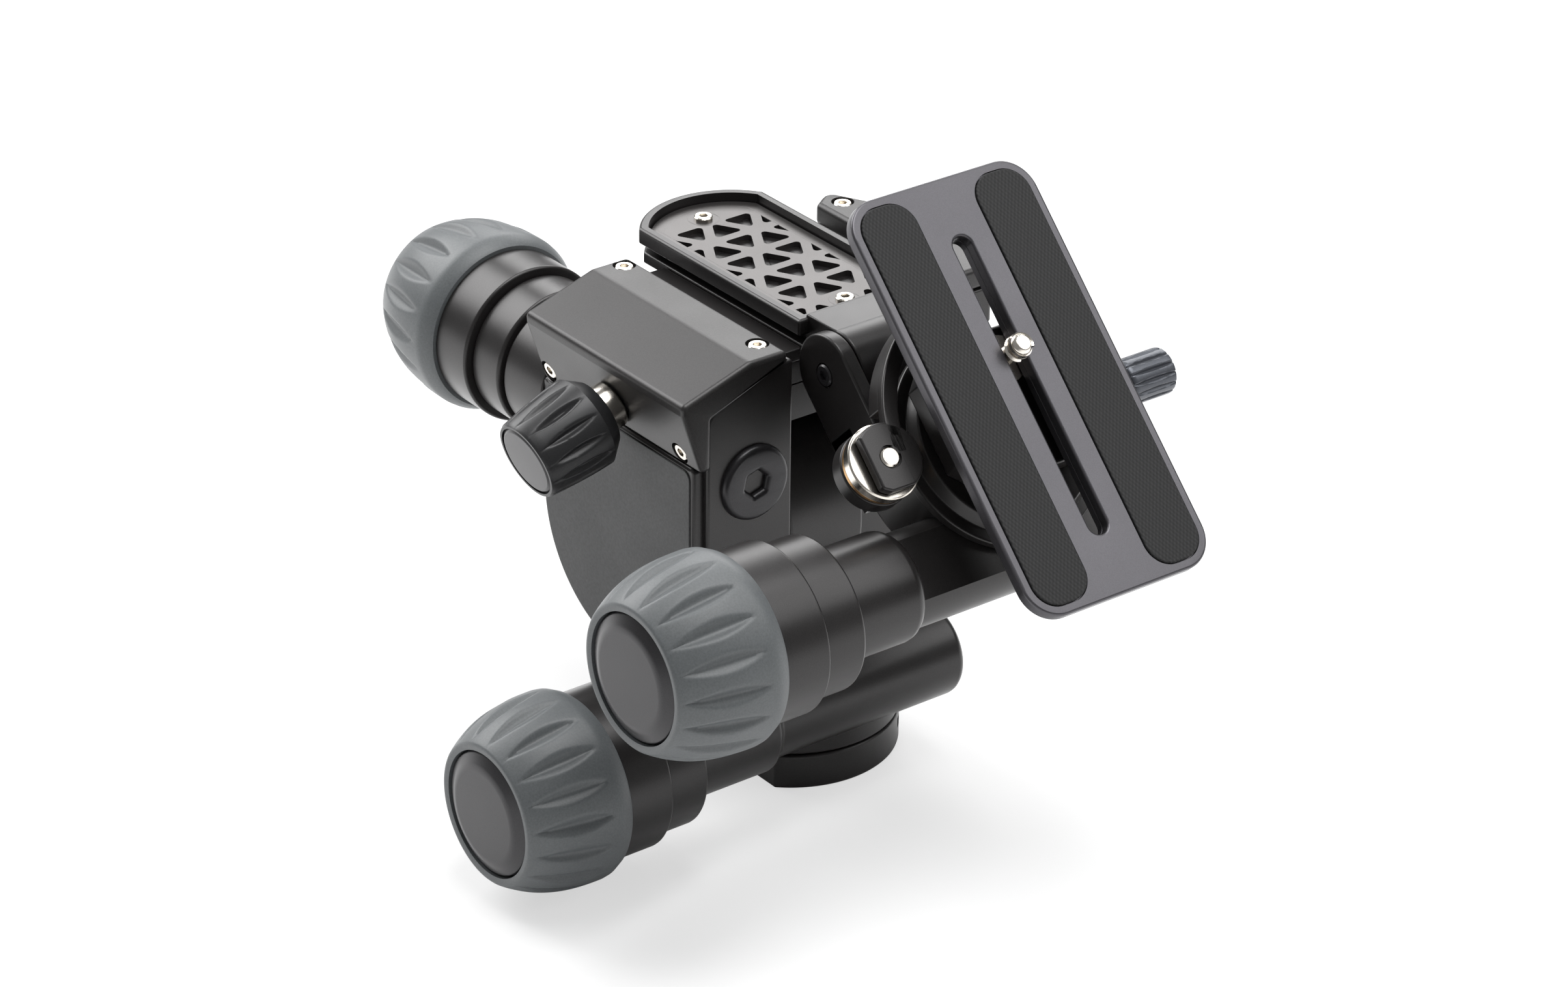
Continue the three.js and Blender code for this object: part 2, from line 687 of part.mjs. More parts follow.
// Knob, cap, grip and worm of one geared joint
function driveKnob(prefix, front, place) {
  const moved = (body) => place(body.translate([0, 0, -front]));
  const shaftFront = front + hubFront - SEAT_GAP;
  return [
    piece(`${prefix}_knob_core`, moved(knobCore()), blackAnodised),
    piece(`${prefix}_knob_grip`, moved(grip()), gripRubber),
    piece(`${prefix}_knob_cap`, moved(knobCap()), blackAnodised),
    piece(`${prefix}_worm`, place(worm(shaftFront)), nickel),
    piece(`${prefix}_release_ring`, moved(releaseRing()), blackAnodised),
  ];
}

const panPlace = (body) => onY(body, WORM_CENTRES, PAN_WORM_HEIGHT);
const tiltPlace = (body) => onX(body, TILT_AXIS_SETBACK, TILT_GEAR_SIDE, tiltWormHeight);
const rotatorPlace = (body) => onY(body, ROTATOR_WORM_REACH, ROTATOR_WORM_LIFT);

// Base disc with its spindle, tripod socket, flat and keyway
function baseDisc() {
  const shoulder = PAN_WORM_HEIGHT - WHEEL_WIDTH / 2 - SEAT_GAP;
  const spindleTop = PAN_WORM_HEIGHT + WHEEL_WIDTH / 2 + SPINDLE_STEP;
  const disc = turned("z", [
    [0, 0],
    [BASE_RADIUS - EDGE_BEVEL, 0],
    [BASE_RADIUS, EDGE_BEVEL],
    [BASE_RADIUS, BASE_HEIGHT],
    [0, BASE_HEIGHT],
  ], [0, 0, 0], FINE);
  const step = bar("z", SPINDLE_RADIUS + SPINDLE_STEP, 0, shoulder, [0, 0, 0], COARSE);
  const spindle = bar("z", SPINDLE_RADIUS, 0, spindleTop, [0, 0, 0], COARSE);
  const socket = bar("z", BASE_SOCKET_RADIUS, -OVERRUN, BASE_SOCKET_DEPTH, [0, 0, 0], COARSE);
  const wide = BASE_RADIUS + OVERRUN;
  const flat = block([-wide, -wide, -OVERRUN], [wide, -BASE_FLAT_REACH, BASE_HEIGHT + OVERRUN]);
  const notch = block(
    [BASE_RADIUS - BASE_NOTCH_DEPTH, -BASE_NOTCH_WIDTH / 2, BASE_NOTCH_HEIGHT],
    [wide, BASE_NOTCH_WIDTH / 2, BASE_NOTCH_HEIGHT + BASE_NOTCH_WIDTH],
  ).rotate([0, 0, BASE_NOTCH_DEGREES]);
  const keyway = block(
    [-BASE_KEYWAY_WIDTH / 2, -wide, BASE_KEYWAY_LIFT],
    [BASE_KEYWAY_WIDTH / 2, -BASE_FLAT_REACH + BASE_KEYWAY_DEPTH, BASE_KEYWAY_LIFT + BASE_KEYWAY_HEIGHT],
  ).translate([BASE_KEYWAY_WIDTH, 0, 0]);
  return cut(join(disc, step, spindle), socket, flat, notch, keyway);
}

// Set screws of the pan housing as pairs of station and reach
const panScrewStations = [
  [PAN_SCREW_FAR, WORM_CENTRES + PAN_TUBE_RADIUS],
  [-PAN_SCREW_NEAR, WORM_CENTRES + PAN_COLLAR_RADIUS],
];

// Pan housing: worm tube, wheel pot on its skirt and the upright that carries the tilt axis
function panHousing() {
  const bottom = BASE_HEIGHT + SEAT_GAP;
  const endBulge = PAN_END_ROUND * PAN_END_BULGE_SHARE;
  const tubeProfile = [
    [0, -PAN_TUBE_FRONT],
    [PAN_COLLAR_RADIUS - EDGE_BEVEL, -PAN_TUBE_FRONT],
    [PAN_COLLAR_RADIUS, -PAN_TUBE_FRONT + EDGE_BEVEL],
    [PAN_COLLAR_RADIUS, -PAN_COLLAR_END],
    [PAN_TUBE_RADIUS, -PAN_COLLAR_END + PAN_COLLAR_RADIUS - PAN_TUBE_RADIUS],
    [PAN_TUBE_RADIUS, PAN_TUBE_BACK - PAN_END_ROUND],
    [PAN_TUBE_RADIUS - endBulge, PAN_TUBE_BACK - endBulge],
    [PAN_TUBE_RADIUS - PAN_END_ROUND, PAN_TUBE_BACK],
    [0, PAN_TUBE_BACK],
  ];
  const tube = panPlace(join(turned("z", tubeProfile, [0, 0, 0], FINE), nose(PAN_TUBE_FRONT)));
  const wide = BASE_RADIUS + OVERRUN;
  const skirt = cut(
    bar("z", BASE_RADIUS, bottom, PAN_SKIRT_TOP, [0, 0, 0], FINE),
    block([-wide, -wide, 0], [wide, -BASE_FLAT_REACH, PAN_SKIRT_TOP + OVERRUN]),
  );
  const pot = bar("z", PAN_POT_RADIUS, PAN_SKIRT_TOP - OVERRUN, PAN_POT_TOP, [0, 0, 0], FINE);
  const shape = new THREE.Shape();
  const spread = QUARTER_TURN / 2;
  shape.absarc(-TILT_AXIS_SETBACK, tiltAxisHeight, uprightRadius, -spread, HALF_TURN + spread);
  shape.lineTo(-UPRIGHT_FOOT_HALF_LENGTH, PAN_WORM_HEIGHT);
  shape.lineTo(UPRIGHT_FOOT_HALF_LENGTH, PAN_WORM_HEIGHT);
  const upright = drawn(shape, -UPRIGHT_HALF_WIDTH, UPRIGHT_HALF_WIDTH, "xz", ARC_STEPS);
  const chamberTop = PAN_WORM_HEIGHT + WHEEL_WIDTH / 2 + SPINDLE_STEP + RUN_GAP;
  const chamber = bar("z", chamberRadius, bottom - OVERRUN, chamberTop, [0, 0, 0], FINE);
  const axleBore = bar(
    "y", TILT_AXLE_RADIUS + SEAT_GAP, -UPRIGHT_HALF_WIDTH - OVERRUN, UPRIGHT_HALF_WIDTH + OVERRUN,
    [-TILT_AXIS_SETBACK, 0, tiltAxisHeight], COARSE,
  );
  const screwHoles = panScrewStations.map(([y, reach]) => bar(
    "x", SET_SCREW_RADIUS + SEAT_GAP, reach - SET_SCREW_LENGTH - SEAT_GAP, reach + OVERRUN,
    [0, y, PAN_WORM_HEIGHT], WORM_STEPS,
  ));
  const reach = UPRIGHT_HALF_WIDTH + BASE_RADIUS;
  const sweeps = [[-reach, -UPRIGHT_HALF_WIDTH], [UPRIGHT_HALF_WIDTH, reach]].map(([near, far]) => bar(
    "y", legCoreRadius + LEG_CLEARANCE, near, far, [-TILT_AXIS_SETBACK, 0, tiltAxisHeight], FINE,
  ));
  const body = join(cut(join(tube, skirt, pot), ...sweeps), upright);
  return cut(body, chamber, panPlace(shaftBore(PAN_TUBE_FRONT)), axleBore, ...screwHoles);
}

// Set screw with a hexagon socket, along X and flush with the tube
function setScrew([y, reach]) {
  const place = [0, y, PAN_WORM_HEIGHT];
  const head = reach - SEAT_GAP;
  const body = bar("x", SET_SCREW_RADIUS, reach - SET_SCREW_LENGTH, head, place, WORM_STEPS);
  const socket = bar("x", SET_SCREW_RADIUS / 2, head - SCREW_SOCKET_DEPTH, head + OVERRUN, place, HEX_SIDES);
  return cut(body, socket);
}

// Bolt that closes the worm bore, with a wide bevelled head and a hexagon socket
function endBolt() {
  const face = BLOCK_FRONT + END_BOLT_PROUD;
  const seat = BLOCK_FRONT - END_BOLT_HEAD + SEAT_GAP;
  const head = turned("x", [
    [0, seat],
    [END_BOLT_RADIUS, seat],
    [END_BOLT_RADIUS, face - END_BOLT_BEVEL],
    [END_BOLT_RADIUS - END_BOLT_BEVEL, face],
    [0, face],
  ], [0, 0, 0], MEDIUM);
  const shankEnd = BLOCK_FRONT - END_BOLT_SHANK;
  const shank = bar("x", END_BOLT_SHANK_RADIUS, shankEnd, seat + OVERRUN, [0, 0, 0], COARSE);
  const socket = bar("x", HEX_SOCKET_RADIUS, face - HEX_SOCKET_DEPTH, face + OVERRUN, [0, 0, 0], HEX_SIDES);
  return cut(join(head, shank), socket).translate([-TILT_AXIS_SETBACK, -TILT_GEAR_SIDE, tiltWormHeight]);
}

function tiltAxle() {
  const body = bar("y", TILT_AXLE_RADIUS, -TILT_AXLE_NEAR, TILT_AXLE_FAR, [0, 0, 0], COARSE);
  const seatStart = -TILT_GEAR_SIDE - WHEEL_WIDTH / 2 + SEAT_GAP;
  const seat = bar("y", SPINDLE_RADIUS, seatStart, -frameInner, [0, 0, 0], COARSE);
  return join(body, seat).translate([-TILT_AXIS_SETBACK, 0, tiltAxisHeight]);
}

// Outline of one leg, in X and Z from the tilt axis
function legOutline(radius, front, back, top) {
  const shape = new THREE.Shape();
  shape.moveTo(-back, top);
  shape.lineTo(-back, 0);
  shape.absarc(0, 0, radius, HALF_TURN, FULL_TURN - Math.acos(front / radius));
  shape.lineTo(front, top);
  return shape;
}

// Tilting frame: near leg with the worm tube, bridge over the upright, far leg and deck
function tiltFrame() {
  const skinTop = coverFoot - RUN_GAP - tiltAxisHeight;
  const skin = legOutline(LEG_RADIUS, LEG_SKIN_FRONT, frameBack, skinTop);
  const nearSkin = drawn(skin, -NEAR_LEG_FACE, -NEAR_LEG_FACE + LEG_SKIN, "xz", ARC_STEPS);
  const core = legOutline(legCoreRadius, bridgeFront, frameBack - SEAT_GAP, frameDeck);
  const nearLeg = drawn(core, -BLOCK_NEAR_FACE, -frameInner, "xz", ARC_STEPS);
  const farLeg = drawn(core, frameInner, FAR_LEG_FACE, "xz", ARC_STEPS);
  const bridge = block(
    [-frameBack, -frameInner - OVERRUN, uprightRadius + BRIDGE_CLEARANCE],
    [bridgeFront, frameInner + OVERRUN, frameDeck],
  );
  const boltBlock = block([0, -BLOCK_NEAR_FACE, 0], [BLOCK_FRONT, -frameInner, frameDeck]);
  const low = [TILT_AXIS_SETBACK, 0, -tiltAxisHeight];
  const high = [-TILT_AXIS_SETBACK, 0, tiltAxisHeight];
  const wholeTube = tiltPlace(join(
    bar("z", TILT_TUBE_RADIUS, -TILT_TUBE_FRONT, -COVER_BACK - RUN_GAP, [0, 0, 0], FINE),
    bar("z", TILT_TUBE_CORE_RADIUS, -TILT_TUBE_FRONT, 0, [0, 0, 0], MEDIUM),
    nose(TILT_TUBE_FRONT),
  )).translate(low);
  const tube = cut(wholeTube, block([-frameBack, -frameInner, 0], [frameBack, frameInner, frameDeck]));
  const columnPlace = [-frameBack, -NEAR_LEG_FACE + COLUMN_RADIUS, 0];
  const column = bar("z", COLUMN_RADIUS, WORM_CENTRES - COLUMN_LENGTH / 2, skinTop, columnPlace, COARSE);
  const body = join(nearSkin, nearLeg, farLeg, bridge, boltBlock, tube, column);
  const wheelNear = -TILT_GEAR_SIDE - WHEEL_WIDTH / 2 - RUN_GAP;
  const chamber = bar("y", chamberRadius, wheelNear, -frameInner + OVERRUN, [0, 0, 0], FINE);
  const axleRoom = bar(
    "y", TILT_AXLE_RADIUS + SEAT_GAP, -TILT_AXLE_NEAR - SEAT_GAP, TILT_AXLE_FAR + SEAT_GAP, [0, 0, 0], COARSE,
  );
  const boltPlace = [0, -TILT_GEAR_SIDE, WORM_CENTRES];
  const shankRoom = END_BOLT_SHANK_RADIUS + SEAT_GAP;
  const shankEnd = BLOCK_FRONT - END_BOLT_SHANK - SEAT_GAP;
  const headRoom = END_BOLT_RADIUS + SEAT_GAP;
  const boltRoom = join(
    bar("x", shankRoom, shankEnd, BLOCK_FRONT, boltPlace, COARSE),
    bar("x", headRoom, BLOCK_FRONT - END_BOLT_HEAD, BLOCK_FRONT + OVERRUN, boltPlace, MEDIUM),
  );
  const wormRoom = tiltPlace(shaftBore(TILT_TUBE_FRONT)).translate(low);
  const upper = join(cut(body, chamber, axleRoom, wormRoom, boltRoom).translate(high), ...deckPieces());
  const lockHole = onFlange(
    bar("z", LOCK_SCREW_RADIUS + SEAT_GAP, -LOCK_HOLE_REACH, COVER_EDGE_DROP, [0, 0, 0], COARSE),
    -TILT_AXIS_SETBACK, lockHeight,
  );
  const screwRooms = [coverScrewSets, panelScrewSet, farScrewSet].flatMap((set) => set(screwRoom()));
  return cut(upper, lockHole, ...screwRooms);
}

// Sloped head under the near cover, its screw posts, the deck under the rail and the far shelf
function deckPieces() {
  const back = -TILT_AXIS_SETBACK - frameBack;
  const front = -TILT_AXIS_SETBACK + bridgeFront;
  const deck = tiltAxisHeight + frameDeck - OVERRUN;
  const head = drawn(outline([
    [-BLOCK_NEAR_FACE, deck],
    [nearSide(BLOCK_INNER_REACH), deck],
    [nearSide(BLOCK_INNER_REACH), blockHighTop],
    [nearSide(BLOCK_FLAT_REACH), blockHighTop],
    [-BLOCK_NEAR_FACE, blockLowTop],
  ]), back, -TILT_AXIS_SETBACK + BLOCK_FRONT, "yz");
  const posts = coverScrewReaches.map((reach) => bar(
    "z", POST_RADIUS, deck, coverTop - COVER_WALL - SEAT_GAP, [reach, nearSide(COVER_SCREW_REACH), 0], COARSE,
  ));
  const railBed = block(
    [back, nearSide(BLOCK_INNER_REACH + OVERRUN), deck],
    [front, farSide(BLOCK_INNER_REACH), railFoot - SEAT_GAP],
  );
  const farShelf = block(
    [back, farSide(BLOCK_INNER_REACH - OVERRUN), deck],
    [front, farSide(FAR_SHELF_REACH), coverTop - COVER_EDGE_DROP - SEAT_GAP],
  );
  return [head, ...posts, railBed, farShelf];
}

// Mirrors a span about the upper centre line
const nearSide = (offset) => UPPER_CENTRE - offset;
const farSide = (offset) => UPPER_CENTRE + offset;

// Bent sheet cover over the tilt gearing: its section in Y and Z, drawn along X
function coverSection(inset) {
  return outline([
    [nearSide(COVER_INNER_REACH), coverTop - inset],
    [nearSide(COVER_FOLD_REACH), coverTop - inset],
    [nearSide(COVER_BEND_REACH - inset), coverBend],
    [nearSide(COVER_BEND_REACH - inset), coverBend - COVER_WALL],
    [nearSide(COVER_FOOT_REACH - inset), coverFoot],
    [nearSide(COVER_INNER_REACH), coverFoot],
  ]);
}

const flangeAngle = Math.atan2(
  COVER_BEND_REACH - COVER_FOOT_REACH, coverBend - COVER_WALL - coverFoot,
);

// Places a shape that stands on Z so that it points out of the cover's leaning flange
function onFlange(body, reach, height) {
  const lean = COVER_BEND_REACH - (coverBend - COVER_WALL - height) * Math.tan(flangeAngle);
  const degrees = THREE.MathUtils.radToDeg(flangeAngle);
  return body.rotate([90 + degrees, 0, 0]).translate([reach, nearSide(lean), height]);
}

// Button head screw on Z with its head seated at zero
function buttonScrew() {
  const head = turned("z", [
    [0, TOUCH_GAP],
    [SCREW_HEAD_RADIUS, TOUCH_GAP],
    [SCREW_HEAD_RADIUS, SCREW_HEAD_HEIGHT / 2],
    [SCREW_HEAD_RADIUS / 2, SCREW_HEAD_HEIGHT],
    [0, SCREW_HEAD_HEIGHT],
  ], [0, 0, 0], COARSE);
  const shank = bar("z", SCREW_SHANK_RADIUS, -SCREW_SHANK, SCREW_HEAD_HEIGHT / 2, [0, 0, 0], WORM_STEPS);
  const floor = SCREW_HEAD_HEIGHT - SCREW_SOCKET_DEPTH;
  const socket = bar("z", SCREW_SOCKET_RADIUS, floor, SCREW_HEAD_HEIGHT + OVERRUN, [0, 0, 0], HEX_SIDES);
  return cut(join(head, shank), socket);
}

function screwRoom() {
  const radius = SCREW_SHANK_RADIUS + SEAT_GAP;
  return bar("z", radius, -SCREW_SHANK - OVERRUN, SCREW_HEAD_HEIGHT, [0, 0, 0], WORM_STEPS);
}

const coverMiddle = (COVER_FRONT - COVER_BACK) / 2 - TILT_AXIS_SETBACK;
const coverScrewReaches = [coverMiddle - COVER_SCREW_SPAN / 2, coverMiddle + COVER_SCREW_SPAN / 2];

function coverScrewSets(body) {
  return coverScrewReaches.flatMap((reach) => [
    body.translate([reach, nearSide(COVER_SCREW_REACH), coverTop]),
    onFlange(body, reach, coverFoot + FLANGE_SCREW_LIFT),
  ]);
}

function nearCover() {
  const back = -TILT_AXIS_SETBACK - COVER_BACK;
  const front = -TILT_AXIS_SETBACK + COVER_FRONT;
  const shell = drawn(coverSection(0), back, front, "yz");
  const hollow = drawn(coverSection(COVER_WALL), back - OVERRUN, front + OVERRUN, "yz");
  const lockRoom = onFlange(
    bar("z", LOCK_SCREW_RADIUS + SEAT_GAP, -COVER_EDGE_DROP, COVER_EDGE_DROP, [0, 0, 0], COARSE),
    -TILT_AXIS_SETBACK, lockHeight,
  );
  return cut(shell, hollow, lockRoom, ...coverScrewSets(screwRoom()));
}

// Ring of points for a skin whose every second point lies in a flute
function flutedRing(flutes, radius, depth, z) {
  const count = flutes * 2;
  return Array.from({ length: count }, (unused, column) => {
    const angle = FULL_TURN * column / count;
    const reach = radius - (column % 2 === 0 ? depth : 0);
    return [reach * Math.cos(angle), reach * Math.sin(angle), z];
  });
}

// Lock knob that stands out of the cover's flange
function lockBarrel() {
  const ring = (radius, depth, z) => flutedRing(LOCK_FLUTES, radius, depth, z);
  const from = LOCK_KNOB_STANDOFF;
  const to = from + LOCK_KNOB_LENGTH;
  return skinned([
    ring(LOCK_BACK_RADIUS, 0, from),
    ring(LOCK_KNOB_RADIUS, 0, from + LOCK_BACK_LENGTH),
    ring(LOCK_KNOB_RADIUS, LOCK_FLUTE_DEPTH, (from + to) / 2),
    ring(LOCK_FRONT_RADIUS, 0, to - LOCK_FRONT_LENGTH),
    ring(LOCK_CAP_RADIUS + EDGE_BEVEL, 0, to),
  ]);
}

function lockKnob() {
  const front = LOCK_KNOB_STANDOFF + LOCK_KNOB_LENGTH;
  const room = bar("z", LOCK_CAP_RADIUS, front - LOCK_CAP_THICKNESS, front + OVERRUN, [0, 0, 0], MEDIUM);
  const stemTop = LOCK_KNOB_STANDOFF + OVERRUN;
  const stem = bar("z", LOCK_SCREW_RADIUS, -LOCK_SCREW_REACH, stemTop, [0, 0, 0], COARSE);
  return onFlange(join(cut(lockBarrel(), room), stem), -TILT_AXIS_SETBACK, lockHeight);
}

function lockCap() {
  const front = LOCK_KNOB_STANDOFF + LOCK_KNOB_LENGTH;
  const from = front - LOCK_CAP_THICKNESS + TOUCH_GAP;
  const cap = bar("z", LOCK_CAP_RADIUS - TOUCH_GAP, from, front + TOUCH_GAP, [0, 0, 0], MEDIUM);
  return onFlange(cap, -TILT_AXIS_SETBACK, lockHeight);
}

function lockCollar() {
  const outer = bar("z", LOCK_COLLAR_RADIUS, SEAT_GAP, LOCK_KNOB_STANDOFF - SEAT_GAP, [0, 0, 0], MEDIUM);
  const room = LOCK_SCREW_RADIUS + SEAT_GAP;
  const bore = bar("z", room, -OVERRUN, LOCK_KNOB_STANDOFF + OVERRUN, [0, 0, 0], COARSE);
  return onFlange(cut(outer, bore), -TILT_AXIS_SETBACK, lockHeight);
}

// Outline of the rail from above, shrunk by an inset
function railOutline(inset, front) {
  const half = RAIL_HALF_WIDTH - inset;
  const radius = RAIL_ARC_RADIUS - inset;
  const centre = -RAIL_BACK + RAIL_ARC_RADIUS * Math.cos(Math.asin(RAIL_HALF_WIDTH / RAIL_ARC_RADIUS));
  const spread = Math.asin(half / radius);
  const shape = new THREE.Shape();
  shape.moveTo(front, nearSide(half));
  shape.lineTo(front, farSide(half));
  shape.absarc(centre, UPPER_CENTRE, radius, HALF_TURN - spread, HALF_TURN + spread);
  return shape;
}

const railLipFoot = railTop - RAIL_LIP;
const railNeckFoot = railLipFoot - RAIL_NECK;
const railFoot = railNeckFoot - RAIL_FOOT;
const trayFloor = railTop - TRAY_DEPTH - PANEL_THICKNESS / 2;
const trayFront = RAIL_FRONT - TRAY_WALL;

function topRail() {
  const lip = drawn(railOutline(0, RAIL_FRONT), railLipFoot, railTop);
  const neckInset = RAIL_HALF_WIDTH - RAIL_NECK_HALF_WIDTH;
  const neck = drawn(railOutline(neckInset, RAIL_FRONT), railNeckFoot - SEAT_GAP, railLipFoot + OVERRUN);
  const footInset = RAIL_HALF_WIDTH - RAIL_FOOT_HALF_WIDTH;
  const foot = drawn(railOutline(footInset, RAIL_FRONT), railFoot, railNeckFoot);
  const barrelHalf = CHEEK_OUTER - CHEEK_THICKNESS - SEAT_GAP;
  const barrelPlace = [HINGE_FORWARD, 0, hingeHeight];
  const barrel = bar("y", HINGE_RADIUS, nearSide(barrelHalf), farSide(barrelHalf), barrelPlace, FINE);
  const saddle = block(
    [RAIL_FRONT - OVERRUN, nearSide(barrelHalf), railFoot],
    [barrelPlace[0], farSide(barrelHalf), railTop],
  );
  const tray = drawn(railOutline(TRAY_WALL, trayFront), trayFloor, railTop + OVERRUN);
  const pivotRoom = bar(
    "y", HINGE_SCREW_RADIUS + SEAT_GAP, nearSide(CHEEK_OUTER), farSide(CHEEK_OUTER), barrelPlace, COARSE,
  );
  return cut(join(lip, neck, foot, barrel, saddle), tray, pivotRoom, ...panelScrewSet(screwRoom()));
}

// Lattice of triangular openings between two screw tabs
function triangleHole(x, y, pointing) {
  const corners = [
    new THREE.Vector2(x - pointing * LATTICE_HEIGHT / 2, y - LATTICE_BASE / 2),
    new THREE.Vector2(x + pointing * LATTICE_HEIGHT / 2, y),
    new THREE.Vector2(x - pointing * LATTICE_HEIGHT / 2, y + LATTICE_BASE / 2),
  ];
  const path = new THREE.Shape();
  corners.forEach((corner, index) => {
    const before = corners[(index + 2) % corners.length];
    const after = corners[(index + 1) % corners.length];
    const from = corner.clone().add(before.clone().sub(corner).setLength(LATTICE_CORNER));
    const to = corner.clone().add(after.clone().sub(corner).setLength(LATTICE_CORNER));
    if (index === 0) {
      path.moveTo(from.x, from.y);
    } else {
      path.lineTo(from.x, from.y);
    }
    path.lineTo(to.x, to.y);
  });
  return path;
}

const panelFront = trayFront - PANEL_GAP;
const panelScrewReaches = [-RAIL_BACK + TRAY_SCREW_INSET, panelFront - TAB_RADIUS];

function latticePanel() {
  const bottom = trayFloor + TOUCH_GAP;
  const top = bottom + PANEL_THICKNESS;
  const edge = TRAY_WALL + PANEL_GAP;
  const sheet = drawn(railOutline(edge, panelFront), bottom, top);
  const field = railOutline(edge + LATTICE_SIDE, panelFront - LATTICE_MARGIN);
  const inside = drawn(field, bottom - OVERRUN, top + OVERRUN);
  const openings = [];
  for (let column = 0; column < LATTICE_COLUMNS; column += 1) {
    const x = panelFront - LATTICE_FRONT - LATTICE_PITCH * column;
    for (let row = -LATTICE_ROWS / 2; row <= LATTICE_ROWS / 2; row += 1) {
      const pointing = (row + column) % 2 === 0 ? 1 : -1;
      const hole = triangleHole(x, UPPER_CENTRE + LATTICE_STEP * row, pointing);
      openings.push(drawn(hole, bottom - OVERRUN, top + OVERRUN));
    }
  }
  const tabs = panelScrewSet(bar("z", TAB_RADIUS, -PLATE_LIP, PLATE_LIP, [0, 0, 0], COARSE));
  const lattice = cut(keep(join(...openings), inside), ...tabs);
  return cut(sheet, lattice, ...panelScrewSet(screwRoom()));
}

function panelScrewSet(body) {
  const height = trayFloor + TOUCH_GAP + PANEL_THICKNESS;
  return panelScrewReaches.map((x) => body.translate([x, UPPER_CENTRE, height]));
}

// Far deck cover, with its back edge cut at a slant
function farCover() {
  const inner = farSide(FAR_COVER_NEAR_REACH);
  const outer = inner + FAR_COVER_WIDTH;
  const corners = [
    [-FAR_COVER_BACK, inner],
    [-FAR_COVER_BACK - FAR_COVER_TIP, farSide(FAR_COVER_TIP_REACH)],
    [-FAR_COVER_BACK + FAR_COVER_CORNER, outer],
    [FAR_COVER_FRONT, outer],
    [FAR_COVER_FRONT, inner],
  ];
  const lid = drawn(outline(corners), coverTop - COVER_EDGE_DROP, coverTop);
  return cut(lid, ...farScrewSet(screwRoom()));
}

function farScrewSet(body) {
  return [body.translate([coverScrewReaches[0], farSide(COVER_SCREW_REACH), coverTop])];
}

const tableStemBottom = ROTATOR_WORM_LIFT - WHEEL_WIDTH / 2 - TABLE_STEM_FOOT;

// Everything that folds with the arm, in the arm's own frame: X down the arm, Z out of it
function yoke() {
  const cheekInner = CHEEK_OUTER - CHEEK_THICKNESS;
  const cheekShape = new THREE.Shape();
  cheekShape.absarc(0, 0, HINGE_RADIUS, QUARTER_TURN, HALF_TURN + QUARTER_TURN);
  cheekShape.lineTo(rotatorReach, -HINGE_RADIUS);
  cheekShape.lineTo(rotatorReach, HINGE_RADIUS);
  const cheek = drawn(cheekShape, cheekInner, CHEEK_OUTER, "xz", ARC_STEPS);
  const cheeks = join(cheek, cheek.translate([0, -CHEEK_OUTER - cheekInner, 0]));
  const floor = block(
    [HINGE_RADIUS + HINGE_ROOM, -CHEEK_OUTER, -HINGE_RADIUS],
    [rotatorReach, CHEEK_OUTER, ROTATOR_BOTTOM],
  );
  const potPlace = [rotatorReach, 0, 0];
  const pot = bar("z", ROTATOR_POT_RADIUS, ROTATOR_BOTTOM, ROTATOR_TOP, potPlace, FINE);
  const slim = bar("z", ROTATOR_TUBE_RADIUS, -ROTATOR_TUBE_FRONT, ROTATOR_TUBE_BACK, [0, 0, 0], FINE);
  const shaved = cut(rotatorPlace(slim), block(
    [0, -ROTATOR_TUBE_FRONT - OVERRUN, ROTATOR_TOP],
    [
      ROTATOR_WORM_REACH + ROTATOR_POT_RADIUS,
      ROTATOR_TUBE_BACK + OVERRUN,
      ROTATOR_TOP + ROTATOR_TUBE_RADIUS,
    ],
  ));
  const collar = rotatorPlace(join(
    bar("z", ROTATOR_COLLAR_RADIUS, -ROTATOR_TUBE_FRONT, -ROTATOR_COLLAR_END, [0, 0, 0], FINE),
    nose(ROTATOR_TUBE_FRONT),
  ));
  const chamberFloor = ROTATOR_WORM_LIFT - WHEEL_WIDTH / 2 - RUN_GAP;
  const chamber = bar("z", chamberRadius, chamberFloor, ROTATOR_TOP + OVERRUN, potPlace, FINE);
  const stemFloor = tableStemBottom - RUN_GAP;
  const stemRoom = bar("z", TABLE_STEM_RADIUS + RUN_GAP, stemFloor, ROTATOR_TOP, potPlace, COARSE);
  const pivotReach = CHEEK_OUTER + OVERRUN;
  const pivotRoom = bar("y", HINGE_SCREW_RADIUS + SEAT_GAP, -pivotReach, pivotReach, [0, 0, 0], COARSE);
  const barrelRoom = bar("y", HINGE_RADIUS + RUN_GAP, -cheekInner, cheekInner, [0, 0, 0], FINE);
  const rooms = [chamber, stemRoom, pivotRoom, barrelRoom, rotatorPlace(shaftBore(ROTATOR_TUBE_FRONT))];
  return cut(join(cheeks, floor, pot, shaved, collar), ...rooms);
}

function hingeScrew(side) {
  const seat = CHEEK_OUTER + TOUCH_GAP;
  const headRadius = HINGE_SCREW_RADIUS + HINGE_SCREW_FLANGE;
  const head = bar("y", headRadius, seat, seat + SCREW_HEAD_HEIGHT, [0, 0, 0], COARSE);
  const inner = CHEEK_OUTER - HINGE_SCREW_LENGTH;
  const shank = bar("y", HINGE_SCREW_RADIUS, inner, seat + OVERRUN, [0, 0, 0], COARSE);
  const whole = join(head, shank);
  return side > 0 ? whole : whole.rotate([0, 0, 180]);
}

